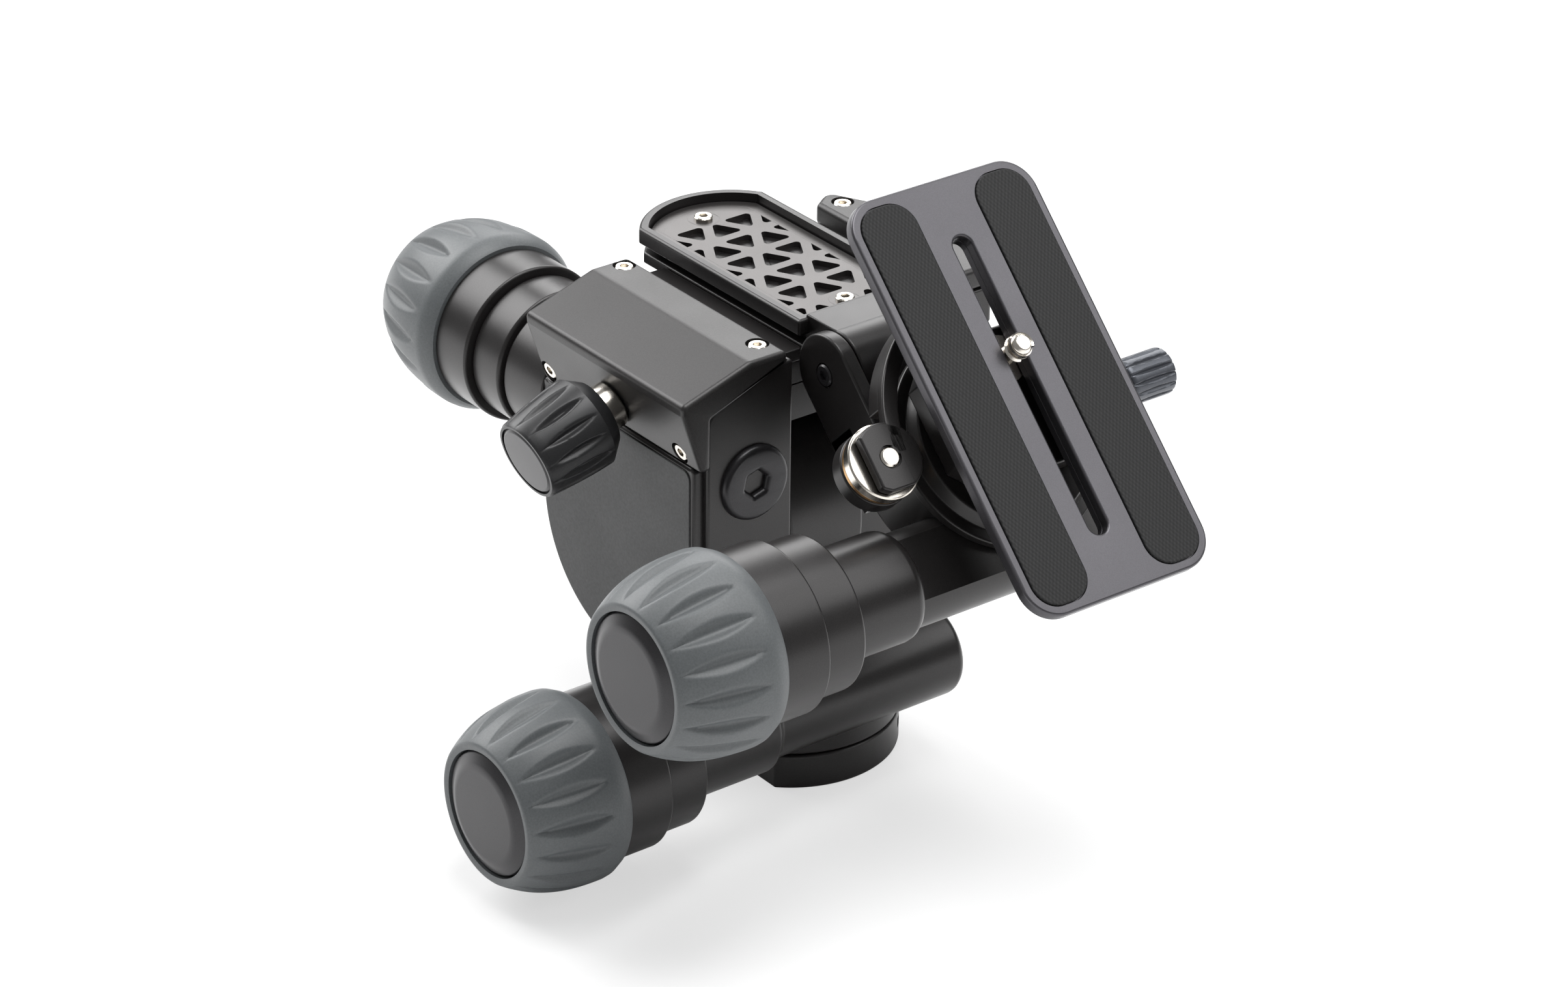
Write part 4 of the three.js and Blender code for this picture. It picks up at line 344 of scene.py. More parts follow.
# %% Woven pad rubber
weave = Tree(
    bpy.data.node_groups.new("woven threads", "ShaderNodeTree"),
    [("Thread", "Float", 0.0006)],
    [("Height", "Float")],
)
spot = weave.add("ShaderNodeTexCoord", out=3)
spot = weave.add("ShaderNodeMapping", Vector=spot, Rotation=(0, math.radians(-45), 0))
split = weave.add("ShaderNodeSeparateXYZ", out=None, Vector=spot)
rate = weave.math("DIVIDE", TURN, weave.given["Thread"])
across = weave.math("SINE", weave.math("MULTIPLY", split.outputs[1], rate))
length = weave.math("SINE", weave.math("MULTIPLY", split.outputs[0], weave.math("MULTIPLY", rate, 0.6)))
raised = weave.math("MULTIPLY", across, length)
weave.link(weave.math("MULTIPLY_ADD", raised, 0.5, 0.5), weave.result["Height"])

pad = bpy.data.materials.new("woven_pad")
pad.use_nodes = True
tree = Tree(pad.node_tree)
threads = tree.add("ShaderNodeGroup", {"node_tree": weave.tree}, Thread=0.0011)
mix = tree.add("ShaderNodeMix", {"data_type": "RGBA"}, out=None)
tree.link(threads, mix.inputs[0])
mix.inputs[6].default_value = (0.002, 0.002, 0.0021, 1)
mix.inputs[7].default_value = (0.011, 0.011, 0.0115, 1)
shader = pad.node_tree.nodes["Principled BSDF"]
tree.link(mix.outputs[2], shader.inputs["Base Color"])
relief = tree.add("ShaderNodeBump", Height=threads, Strength=0.9, Distance=0.00015)
tree.link(relief, shader.inputs["Normal"])
shader.inputs["Roughness"].default_value = 0.72
print("finish:", pad.name)

# %% Handing a piece to its body
def piece(obj, body, slot, material, *nodes):
    obj = evened(obj)
    obj.data.materials.clear()
    obj.data.materials.append(material)
    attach(obj, body)
    if nodes:
        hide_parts(*nodes)
    print("piece", obj.name, len(obj.data.polygons), "faces on", body)
    return obj

# %% [markdown]
# Shapes that follow a rule are grown by Geometry Nodes. The first tree presses lens
# shaped flutes into a turned body: it reads each point's angle and height, and moves the
# point towards the axis where a flute lies. The five knobs share it with other values.

# %% Tree that presses flutes into a turned body
flutes = Tree(
    bpy.data.node_groups.new("pressed flutes", "GeometryNodeTree"),
    [("Body", "Geometry"), ("Flutes", "Float", 18.0), ("Depth", "Float", 0.0015),
     ("Start", "Float", 0.0), ("End", "Float", 0.02), ("Half width", "Float", 0.3),
     ("Least radius", "Float", 0.01), ("Finish", "Material")],
    [("Body", "Geometry")],
)
here = flutes.add("GeometryNodeInputPosition")
split = flutes.add("ShaderNodeSeparateXYZ", out=None, Vector=here)
x, y, z = split.outputs
angle = flutes.math("ARCTAN2", y, x)
turns = flutes.math("DIVIDE", angle, TURN)
share = flutes.math("FRACT", flutes.math("MULTIPLY", turns, flutes.given["Flutes"]))
phase = flutes.math("ABSOLUTE", flutes.math("SUBTRACT", share, 0.5))
span = flutes.math("SUBTRACT", flutes.given["End"], flutes.given["Start"])
along = flutes.math("DIVIDE", flutes.math("SUBTRACT", z, flutes.given["Start"]), span)
along = flutes.math("MINIMUM", flutes.math("MAXIMUM", along, 0.0), 1.0)
wave = flutes.math("SINE", flutes.math("MULTIPLY", along, math.pi))
lens = flutes.math("POWER", flutes.math("MAXIMUM", wave, 0.0), 0.8)
half = flutes.math("MAXIMUM", flutes.math("MULTIPLY", lens, flutes.given["Half width"]), 0.001)
inside = flutes.math("MINIMUM", flutes.math("DIVIDE", phase, half), 1.0)
wave = flutes.math("COSINE", flutes.math("MULTIPLY", inside, math.pi))
hollow = flutes.math("MULTIPLY_ADD", wave, 0.5, 0.5)
hollow = flutes.math("POWER", flutes.math("MAXIMUM", hollow, 0.0), 0.75)
depth = flutes.math("MULTIPLY", flutes.math("MULTIPLY", hollow, lens), flutes.given["Depth"])
flat = flutes.add("ShaderNodeCombineXYZ", X=x, Y=y, Z=0.0)
radius = flutes.add("ShaderNodeVectorMath", {"operation": "LENGTH"}, out=1, i0=flat)
outer = flutes.math("GREATER_THAN", radius, flutes.given["Least radius"])
push = flutes.math("MULTIPLY", flutes.math("MULTIPLY", depth, outer), -1.0)
inwards = flutes.add("ShaderNodeVectorMath", {"operation": "NORMALIZE"}, i0=flat)
offset = flutes.add("ShaderNodeVectorMath", {"operation": "SCALE"}, out=0, i0=inwards, Scale=push)
bent = flutes.add("GeometryNodeSetPosition", Geometry=flutes.given["Body"], Offset=offset)
flutes.close(bent, "Body")

# %% Running a tree on a piece
def grown(obj, tree, place=ROW, angle=38, **values):
    change = obj.modifiers.new("grown", "NODES")
    change.node_group = tree.tree
    for item in tree.tree.interface.items_tree:
        key = item.name.replace(" ", "_")
        if item.in_out == "INPUT" and key in values:
            change[item.identifier] = values[key]
    fresh = keep_mesh(obj, obj.name)
    fresh.data.shade_smooth()
    fresh.data.set_sharp_from_angle(angle=math.radians(angle))
    millimetres = Matrix.Diagonal((1000, 1000, 1000, 1))
    fresh.data.transform(Matrix.Diagonal((MM, MM, MM, 1)) @ place @ millimetres)
    return fresh

print("a grown piece is kept as a mesh at its place")

# %% [markdown]
# The three big knobs are built alike: a rubber grip pressed on a black aluminium hub, with
# an aluminium cap sunk in its end and a release ring behind it. Each front reaches a little
# further out or less, by its own measure. The grip bulges like a barrel, and its flutes are
# widest in the middle, so the tree above makes them.

# %% Drive knobs and release rings
KNOB_FLUTES = 18
GRIP_RADIUS = 24.5
GRIP_LIP = 18.5
CAP_RADIUS = 16.0

def drive_knob(prefix, place, front, drive, ring_body, longer):
    back = front + 25.6
    rim = front + 30.1
    face = front + 52.9 + longer
    rise = face - 0.5 - rim
    taper = GRIP_RADIUS - GRIP_LIP
    bulge = [(GRIP_RADIUS - taper * (k / 30) ** 2.6, -(rim + rise * k / 30)) for k in range(31)]
    foot = [(14.3, -(back + 0.3)), (22.4, -back), (23.2, -(back + 0.8)), (24.3, -(rim - 1.4))]
    mouth = [(GRIP_LIP - 0.4, -(face - 0.1)), (GRIP_LIP - 1.0, -face), (16.35, -(face - 0.3))]
    mouth += [(16.35, -(face - 4)), (14.3, -(face - 4))]
    grip = revolve(prefix + "_grip", foot + bulge + mouth, ROW, 0, KNOB_FLUTES * 16, ring=True)
    grip = grown(grip, flutes, place, Flutes=float(KNOB_FLUTES), Depth=0.0015, Start=-(face - 1.2) * MM,
                 End=-(rim + 1.6) * MM, Half_width=0.31, Least_radius=0.0166, Finish=rubber)
    piece(grip, drive, prefix + "_knob_grip", rubber, prefix + "_knob_grip")
    dome = [(0, -(face + 0.9)), (12.4, -(face + 0.8)), (CAP_RADIUS, -(face - 0.9))]
    dome += [(CAP_RADIUS, -(face - 2)), (CAP_RADIUS, -(face - 4)), (0, -(face - 4))]
    cap = revolve(prefix + "_cap", dome, place, [0, 5, 1, 0, 0, 0], 128)
    piece(cap, drive, prefix + "_knob_cap", satin, prefix + "_knob_cap")
    hub = [(0, -(face - 4.3)), (14, -(face - 4.3)), (14, -back), (21.5, -back)]
    hub += [(21.5, -(front + 12.5)), (0, -(front + 12.5))]
    core = revolve(prefix + "_core", hub, place, [0, 0, 0, 0.3, 0.8, 0], 128)
    piece(core, drive, prefix + "_knob_core", black, prefix + "_knob_core")
    band = [(9.5, -(front + 12)), (19.4, -(front + 12)), (19.4, -(front + 0.5)), (9.5, -(front + 0.5))]
    ring = revolve(prefix + "_ring", band, place, [0.2, 0.6, 0.9, 0.2], 128, ring=True)
    piece(ring, ring_body, prefix + "_release_ring", black, prefix + "_release_ring")

drive_knob("pan", PAN, 56.5, "pan_drive", "pan_ring", 0.3)
drive_knob("tilt", TILT, 50.7, "tilt_drive", "tilt_ring", 2.6)
drive_knob("rotator", ROTATOR, 60.5, "rotator_drive", "rotator_ring", 1.4)

# %% [markdown]
# The base is a turned disc with one side milled flat, a keyway cut into that flat and a
# small notch for reading the angle. It is drawn out from its outline, so the edge round
# runs along the flat as well, and the two cuts are booleans.

# %% Base disc
def flatted(name, radius, low, high, flat=20, holes=(), edge=0.8):
    side = math.asin(flat / radius)
    rim = arc(0, 0, radius, -side, math.pi + side, 96)
    return prism(name, [filleted(rim, [1] + [0] * 95 + [1]), *holes], low, high, ROW, edge)

DISC_RADIUS = 28.4
disc = flatted("disc", DISC_RADIUS, 0, 9.6, holes=[circle(0, 0, 4.8)])
keyway = prism("keyway", [box_outline(5.5, -40, 16.5, -16, 0.5)], 4.2, 6.8, ROW, 0.2)
notch_place = turned(-45, "Z") @ moved(0, 32.4, 0)
notch = prism("notch", [box_outline(-1.5, -5, 1.5, 0.9, 0.2)], 4.5, 7.5, notch_place, 0.2)
disc = carve(disc, keyway, notch)
bar = [(0, 12), (4.8, 12), (4.8, 9), (10.8, 9), (10.8, 23.2), (10, 23.2), (10, 29.3), (0, 29.3)]
spindle = revolve("spindle", bar, ROW, [0, 0, 0, 0, 0, 0, 0.4, 0], 96)
piece(joined("base_shell", disc, spindle), "base", "base_disc", black, "base_disc")

# %% Pan housing
skirt = flatted("skirt", DISC_RADIUS, 9.9, 18, edge=0.9)
pot = revolve("pot", [(0, 15), (24.5, 15), (24.5, 32), (0, 32)], ROW, [0, 0.5, 1.4, 0], 128)
tube = [(0, -56.5), (14.5, -56.5), (14.5, -31), (12.3, -28.6), (12.3, 30), (0, 30)]
tube = revolve("tube", tube, PAN, [0, 0.9, 1.5, 1.5, 2.4, 0], 128)
disc_side = arc(AXLE_X, AXLE_Z, 30, -math.pi / 4, math.pi * 1.25, 72)
upright = prism("upright", [filleted(disc_side + [(-19, 26), (19, 26)], 0)], -11.7, 11.7, XZ, 1.2)
piece(joined("pan_shell", skirt, pot, tube, upright), "pan_body", "pan_housing", black, "pan_housing")

# %% [markdown]
# The tilt frame straddles the upright: a leg on each side, a bridge above, and the worm
# tube through the front leg. Outside the front leg lies a plate with a fine textured coat
# and a smooth border, which is a thin separate shape with its own finish.

# %% Tilt frame
SCREW_Y = -19.3

def leg(radius, front, back, top, inset=0.0, corner=0.0):
    end = TURN - math.acos((front - inset) / (radius - inset))
    rim = arc(0, 0, radius - inset, math.pi, end, 72)
    high = top - AXLE_Z - inset
    if back - inset < radius - inset:
        rim = [p for p in rim if p[0] > -(back - inset)]
    points = [(-(back - inset), high), (-(back - inset), rim[0][1])] + rim + [(front - inset, high)]
    points = [(x + AXLE_X, y + AXLE_Z) for x, y in points]
    return filleted(points, [corner] + [0] * (len(points) - 2) + [corner])

skin = prism("skin", [leg(34.7, 29.6, 34.5, 95, corner=1.5)], 35.4, 41.4, XZ, 1.0)
core = prism("core", [leg(31, 24.2, 30.7, 106.2)], 12.5, 38.4, XZ, 0.6)
far = prism("far", [leg(31, 24.2, 30.7, 106.2)], -36, -12.5, XZ, 0.9)
bridge = prism("bridge", [box_outline(-48.2, 96.2, 9, 106.2)], -13, 13, XZ, 0.3)
side = [(-38.4, AXLE_Z), (-12.5, AXLE_Z), (-12.5, 117.6), (-16, 117.6), (-38.4, 109)]
side = filleted(side, [1, 1, 1, 3, 4])
block = prism("block", [side], -15.2, 16.2, YZ, 0.8)
wedge = [(-38.4, 105.2), (-12.4, 105.2), (-12.4, 117.6), (-16, 117.6), (-38.4, 109)]
wedge = filleted(wedge, [0, 0, 0.5, 2, 3])
head = prism("head", [wedge], -48.2, -14, YZ, 0.8)
post = [(0, 110), (3.2, 110), (3.2, 119.2), (0, 119.2)]
posts = [revolve("post", post, moved(x, SCREW_Y, 0), 0.2, 48) for x in (-42.85, 12.65)]
bed = prism("rail_bed", [box_outline(-48.2, -13.4, 9, 41.8, 1)], 105.2, 112.4, ROW, 0.6)
channel = prism("channel", [box_outline(-48.4, -15.4, 9, -4.2, 0.8)], 112, 115.4, ROW, 0.4)
shelf = prism("shelf", [box_outline(-46.2, 40.8, 9, 56.7, 1.5)], 105.2, 115.2, ROW, 0.6)
gear_tube = [(0, -50.7), (18.2, -50.7), (18.2, -33.8), (0, -33.8)]
gear_tube = revolve("gear_tube", gear_tube, TILT, [0, 1.0, 0.5, 0], 128)
gear_core = revolve("gear_core", [(0, -50), (14.6, -50), (14.6, -2), (0, -2)], TILT, 0, 96)
column = [(0, 74.5), (7, 74.5), (7, 95), (0, 95)]
column = revolve("column", column, moved(-46.2, -34.4, 0), [0, 0.8, 0.5, 0], 64)
frame_parts = [skin, core, far, bridge, block, head, *posts, bed, channel, shelf]
frame_parts += [gear_tube, gear_core, column]
piece(joined("frame_shell", *frame_parts), "tilt_body", "tilt_frame", black, "tilt_frame")
coat = prism("side_coat", [leg(34.7, 29.6, 34.5, 95, inset=1.3, corner=2.5)], 41.0, 41.75, XZ, 0.25)
piece(coat, "tilt_body", "tilt_frame", textured)

# %% End bolt
hexagon = [TURN * k / 6 + 0.3 for k in range(6)]
hexagon = [(3.4 * math.cos(a), 3.4 * math.sin(a)) for a in hexagon]
bolt_place = moved(0, -24.4, 87.5) @ YZ
bolt = prism("bolt", [circle(0, 0, 10, 96), filleted(hexagon, 0.3)], 12.4, 17.9, bolt_place, 1.4)
shank = prism("shank", [circle(0, 0, 6.5, 64)], 8, 14.2, bolt_place, 0.2)
piece(joined("bolt_shell", bolt, shank), "tilt_body", "end_bolt", satin, "end_bolt")

# %% [markdown]
# The near cover is milled from a bar: a narrow strip on top, a long slope and a short
# flange. Its section is drawn once with filleted corners and drawn out along X, so the
# same broad round runs over the ends.

# %% Covers
section = [(-15.7, 121.5), (-27.1, 121.5), (-47.5, 115.1), (-47.3, 112.5), (-41.7, 95.5)]
inner = [(-38.7, 95.5), (-38.7, 109.3), (-16.2, 118.2), (-15.7, 118.2)]
bends = [1.4, 5, 2.4, 1.6, 1.4, 1.4, 0.5, 0.2, 1.4]
cover = prism("cover", [filleted(section + inner, bends)], -48.5, 18.3, YZ, 1.35)
LEAN = 17.74
lean = math.radians(LEAN)
flange_y = -41.7 - 3.1 * math.tan(lean)
FLANGE_Z = 98.6
flange = moved(0, flange_y, FLANGE_Z) @ turned(90 + LEAN, "X")
SCREW_X = (-44.9, 10.6)
well = [(0, -1.7), (3.0, -1.7), (3.0, 2), (0, 2)]
wells = []
for x in SCREW_X:
    wells.append(revolve("well", well, moved(x, SCREW_Y, 121.5), 0, 48))
    wells.append(revolve("well", well, moved(x, 0, 0) @ flange, 0, 48))
cover = carve(cover, *wells)
piece(cover, "tilt_body", "near_cover", cover_black, "near_cover")
lid = filleted([(-46, 42.5), (-50.7, 49.2), (-30, 60), (9, 60), (9, 42.5)], [1.5, 3, 2, 1.5, 1.5])
lid = prism("lid", [lid], 115.5, 121.5, ROW, 1.4)
LID_SCREW = (-42.85, 48.7)
well = [(0, 119.8), (3.0, 119.8), (3.0, 124), (0, 124)]
lid = carve(lid, revolve("well", well, moved(*LID_SCREW, 0), 0, 48))
piece(lid, "tilt_body", "far_cover", cover_black, "far_cover")

# %% [markdown]
# One small button screw repeats all over the head. A tree builds it once, a chamfered
# disc with a hexagon cut out of it, and sets a copy on each given point, turned to that
# point's own direction. Each set of screws becomes one mesh on its body.

# %% Tree that sets screws on points
screws = Tree(
    bpy.data.node_groups.new("screws on points", "GeometryNodeTree"),
    [("Points", "Geometry"), ("Head radius", "Float", 0.00275), ("Head height", "Float", 0.0016),
     ("Chamfer", "Float", 0.0005), ("Socket radius", "Float", 0.0013), ("Finish", "Material")],
    [("Screws", "Geometry")],
)
straight = screws.math("SUBTRACT", screws.given["Head height"], screws.given["Chamfer"])
wide = screws.given["Head radius"]
drum = screws.add("GeometryNodeMeshCylinder", Vertices=40, Radius=wide, Depth=straight)
lift = screws.add("ShaderNodeCombineXYZ", Z=screws.math("MULTIPLY", straight, 0.5))
drum = screws.add("GeometryNodeTransform", Geometry=drum, Translation=lift)
top = screws.math("SUBTRACT", wide, screws.given["Chamfer"])
crown = screws.add("GeometryNodeMeshCone", Vertices=40, Radius_Top=top, Radius_Bottom=wide,
                   Depth=screws.given["Chamfer"])
crown = screws.add("GeometryNodeTransform", Geometry=crown,
                   Translation=screws.add("ShaderNodeCombineXYZ", Z=straight))
both = screws.add("GeometryNodeMeshBoolean", {"operation": "UNION", "solver": "EXACT"}, out=None)
screws.link(drum, both.inputs["Mesh 2"])
screws.link(crown, both.inputs["Mesh 2"])
depth = screws.math("MULTIPLY", screws.given["Head height"], 1.4)
socket = screws.given["Socket radius"]
hexagon = screws.add("GeometryNodeMeshCylinder", Vertices=6, Radius=socket, Depth=depth)
hexagon = screws.add("GeometryNodeTransform", Geometry=hexagon,
                     Translation=screws.add("ShaderNodeCombineXYZ", Z=screws.given["Head height"]))
head = screws.add("GeometryNodeMeshBoolean", {"operation": "DIFFERENCE", "solver": "EXACT"},
                  Mesh_1=both.outputs[0], Mesh_2=hexagon)
aim = screws.add("GeometryNodeInputNamedAttribute", {"data_type": "FLOAT_VECTOR"}, Name="aim")
turn = screws.add("FunctionNodeAlignRotationToVector", {"axis": "Z"}, Vector=aim)
copies = screws.add("GeometryNodeInstanceOnPoints", Points=screws.given["Points"], Instance=head,
                    Rotation=turn)
screws.close(copies, "Screws")

# %% Screws of the tilt frame and of the arm
def screw_set(name, body, slot, places, nodes, finish, place=ROW, **sizes):
    mesh = bpy.data.meshes.new(name)
    mesh.from_pydata([[MM * v for v in spot] for spot, _ in places], [], [])
    aims = mesh.attributes.new("aim", "FLOAT_VECTOR", "POINT")
    for k, (_, way) in enumerate(places):
        aims.data[k].vector = way
    piece(grown(link(name, mesh), screws, place, Finish=finish, **sizes), body, slot, finish, *nodes)

UP = (0, 0, 1)
out = (0, -math.cos(lean), -math.sin(lean))
SINK = 1.8
sunk_y = flange_y + SINK * math.cos(lean)
sunk_z = FLANGE_Z + SINK * math.sin(lean)
places = [((x, SCREW_Y, 119.7), UP) for x in SCREW_X]
places += [((x, sunk_y, sunk_z), out) for x in SCREW_X]
places += [((*LID_SCREW, 119.7), UP)]
nodes = ["cover_screw_1", "cover_screw_2", "cover_screw_3", "cover_screw_4", "far_cover_screw"]
screw_set("cover_screws", "tilt_body", "cover_screw_1", places, nodes, nickel,
          Head_radius=0.0024, Chamfer=0.0003, Socket_radius=0.0013)
TAB_X = (-57.4, 1.8)
places = [((x, UPPER, 120.4), UP) for x in TAB_X]
nodes = ["panel_screw_1", "panel_screw_2"]
screw_set("panel_screws", "tilt_body", "panel_screw_1", places, nodes, nickel,
          Head_height=0.0010, Head_radius=0.0024, Chamfer=0.0003)
places = [((0, side * 20.3, 0), (0, side, 0)) for side in (-1, 1)]
nodes = ["hinge_screw_near", "hinge_screw_far"]
screw_set("hinge_screws", "fold_arm", "hinge_screw_near", places, nodes, satin, ARM,
          Head_radius=0.0028, Head_height=0.0012, Chamfer=0.0004, Socket_radius=0.0014)

# %% Lock knob on the slope
LOCK = moved(AXLE_X, -43.91, 102.4) @ turned(90 + LEAN, "X")
LOCK_FLUTES = 14
barrel = [(9 + 3.2 * min(1, (z - 5.4) / 4), z) for z in (5.4, 7.4, 9.4)]
barrel += [(12.2 - 1.3 * ((k + 1) / 20) ** 1.6, 9.4 + 15.4 * (k + 1) / 20) for k in range(20)]
barrel += [(10.6, 27.0), (10.1, 27.8), (9.4, 27.8), (9.4, 27.1), (2.6, 27.1), (2.6, 5.4)]
lock = revolve("lock", barrel, ROW, 0, LOCK_FLUTES * 16, ring=True)
lock = grown(lock, flutes, LOCK, Flutes=float(LOCK_FLUTES), Depth=0.0011, Start=0.0102, End=0.0258,
             Half_width=0.27, Least_radius=0.0099, Finish=grip_black)
piece(lock, "lock", "lock_knob", grip_black, "lock_knob")
cap = [(0, 28.0), (8.4, 27.9), (9.25, 27.3), (9.25, 27.0), (0, 27.0)]
cap = revolve("lock_face", cap, LOCK, [0, 0.6, 0.2, 0, 0], 96)
piece(cap, "lock", "lock_knob_cap", satin, "lock_knob_cap")
neck = [(2.9, 0.3), (6.2, 0.3), (6.2, 5.1), (2.9, 5.1)]
neck = revolve("neck", neck, LOCK, [0, 0.7, 0.5, 0], 96, ring=True)
piece(neck, "tilt_body", "lock_collar", nickel, "lock_collar")

# %% [markdown]
# The rail is a long tray with a raised lip, round at the back. Its neck is undercut like
# a dovetail. A grey panel lies in the tray, and a truss of triangles is cut through it.

# %% Rail
def rail_outline(inset, front=8.8, steps=48):
    radius, half = 23.8 - inset, 19.8 - inset
    spread = math.asin(min(1, half / radius))
    scallop = arc(-45.0, UPPER, radius, math.pi - spread, math.pi + spread, steps)
    return [(front, UPPER - half), (front, UPPER + half)] + scallop

lip = prism("lip", [filleted(rail_outline(0), [0.6, 0.6] + [0] * 49)], 118.3, 122.7, ROW, 0.8)
tray = prism("tray", [rail_outline(2.4, 6.4)], 118.9, 126, ROW, 0.05)
lip = carve(lip, tray)
floor_plate = prism("tray_floor", [rail_outline(2.0, 7)], 117.9, 118.9, ROW, 0.05)
neck = prism("rail_neck", [rail_outline(4.4)], 115.4, 118.6, ROW, 0.1)
foot = prism("rail_foot", [rail_outline(1.2)], 112.7, 115.9, ROW, 0.7)
barrel = revolve("barrel", [(0, -16.8), (10.5, -16.8), (10.5, 16.8), (0, 16.8)],
                 moved(20.8, UPPER, 113.1) @ turned(-90, "X"), [0, 0.6, 0.6, 0], 128)
saddle = prism("saddle", [box_outline(7.8, UPPER - 16.8, 20.8, UPPER + 16.8)], 113, 123.5, ROW, 0.5)
rail = joined("rail_shell", lip, floor_plate, neck, foot, barrel, saddle)
piece(rail, "tilt_body", "top_rail", black, "top_rail")

# %% Tree that cuts a truss of triangles
truss = Tree(
    bpy.data.node_groups.new("truss of triangles", "GeometryNodeTree"),
    [("Panel", "Geometry"), ("Columns", "Int", 6), ("Rows", "Int", 5), ("Pitch X", "Float", 0.0106),
     ("Pitch Y", "Float", 0.0076), ("Size", "Float", 0.0049), ("Corner", "Float", 0.001),
     ("Centre", "Vector"), ("Finish", "Material")],
    [("Panel", "Geometry")],
)
three = truss.add("GeometryNodeCurvePrimitiveCircle", {"mode": "RADIUS"}, Resolution=3,
                  Radius=truss.given["Size"])
round3 = truss.add("GeometryNodeFilletCurve", {"mode": "POLY"}, Curve=three, Count=4,
                   Radius=truss.given["Corner"])
stem = truss.add("GeometryNodeCurvePrimitiveLine", Start=(0, 0, -0.01), End=(0, 0, 0.01))
cutter = truss.add("GeometryNodeCurveToMesh", Curve=stem, Profile_Curve=round3, Fill_Caps=True)
wide = truss.math("MULTIPLY", truss.given["Pitch X"], truss.math("SUBTRACT", truss.given["Columns"], 1.0))
tall = truss.math("MULTIPLY", truss.given["Pitch Y"], truss.math("SUBTRACT", truss.given["Rows"], 1.0))
grid = truss.add("GeometryNodeMeshGrid", Size_X=wide, Size_Y=tall, Vertices_X=truss.given["Columns"],
                 Vertices_Y=truss.given["Rows"])
number = truss.add("GeometryNodeInputIndex")
column = truss.math("FLOOR", truss.math("DIVIDE", truss.math("ADD", number, 0.5), truss.given["Rows"]))
row = truss.math("SUBTRACT", number, truss.math("MULTIPLY", column, truss.given["Rows"]))
odd = truss.math("MODULO", truss.math("ADD", column, row), 2.0)
way = truss.math("SUBTRACT", 1.0, truss.math("MULTIPLY", odd, 2.0))
quarter = truss.math("MULTIPLY", truss.given["Size"], 0.25)
shift = truss.add("ShaderNodeCombineXYZ", X=truss.math("MULTIPLY", way, quarter))
spots = truss.add("GeometryNodeSetPosition", Geometry=grid, Offset=shift)
half_turn = truss.math("MULTIPLY", truss.math("SUBTRACT", 1.0, odd), math.pi)
angle = truss.add("ShaderNodeCombineXYZ", Z=half_turn)
cuts = truss.add("GeometryNodeInstanceOnPoints", Points=spots, Instance=cutter, Rotation=angle)
cuts = truss.add("GeometryNodeTransform", Geometry=truss.add("GeometryNodeRealizeInstances", Geometry=cuts),
                 Translation=truss.given["Centre"])
panel_cut = truss.add("GeometryNodeMeshBoolean", {"operation": "DIFFERENCE", "solver": "EXACT"},
                      Mesh_1=truss.given["Panel"], Mesh_2=cuts)
truss.close(panel_cut, "Panel")

# %% Lattice panel
field = prism("field", [rail_outline(6.2, 5.0)], 118.9, 120.38, ROW, 0.02)
middle = (MM * (3.1 - 10.6 * 2.5), MM * UPPER, MM * 120)
field = grown(field, truss, Centre=middle, Size=0.0052, Finish=grey)
tabs = [circle(x, UPPER, 4.2, 48) for x in TAB_X]
rim = prism("panel_rim", [rail_outline(2.8, 6.0), rail_outline(6.4, 4.8)], 118.9, 120.4, ROW, 0.2)
tab_parts = [prism("tab", [tab], 118.9, 120.4, ROW, 0.1) for tab in tabs]
piece(joined("panel_shell", field, rim, *tab_parts), "tilt_body", "lattice_panel", grey, "lattice_panel")

# %% [markdown]
# The folding arm turns on the barrel: two round-ended cheeks, a floor, and a pot that
# holds the third worm wheel. The worm's tube crosses the pot's side, and it is milled
# level with the pot's rim so that the turntable can pass over it.

# %% Folding arm
REACH = 33.8
cheek = arc(0, 0, 10.5, math.pi / 2, math.pi * 1.5, 48) + [(REACH, -10.5), (REACH, 10.5)]
near_cheek = prism("near_cheek", [cheek], 17.1, 21.1, ARM @ XZ, 0.7)
far_cheek = prism("far_cheek", [cheek], -21.1, -17.1, ARM @ XZ, 0.7)
well = [(0, 20.0), (3.2, 20.0), (3.2, 22), (0, 22)]
vent = [(0, 18.6), (1.0, 18.6), (1.0, 22), (0, 22)]
vent = revolve("vent", vent, ARM @ moved(20.1, 0, -3.9) @ XZ, 0, 24)
near_cheek = carve(near_cheek, revolve("well", well, ARM @ XZ, 0, 48), vent)
far_cheek = carve(far_cheek, revolve("well", well, ARM @ turned(-90, "X"), 0, 48))
arm_floor = prism("arm_floor", [box_outline(14.5, -21.1, REACH, 21.1)], -10.5, 0.6, ARM, 0.6)
pot = [(0, 0.6), (25.5, 0.6), (25.5, 22), (0, 22)]
pot = revolve("rotator_pot", pot, ARM @ moved(REACH, 0, 0), [0, 1.2, 0.8, 0], 128)
slim = revolve("slim", [(0, -60.5), (12, -60.5), (12, 24), (0, 24)], ROTATOR, [0, 0.4, 2.2, 0], 96)
slim = carve(slim, prism("shave", [box_outline(20, -66, 92, 40)], 22, 40, ARM, 0.02))
collar = [(0, -60.5), (14, -60.5), (14, -37.4), (0, -37.4)]
collar = revolve("collar", collar, ROTATOR, [0, 0.6, 3.5, 0], 128)
arm = joined("arm_shell", near_cheek, far_cheek, arm_floor, pot, slim, collar)
piece(arm, "fold_arm", "yoke", black, "yoke")

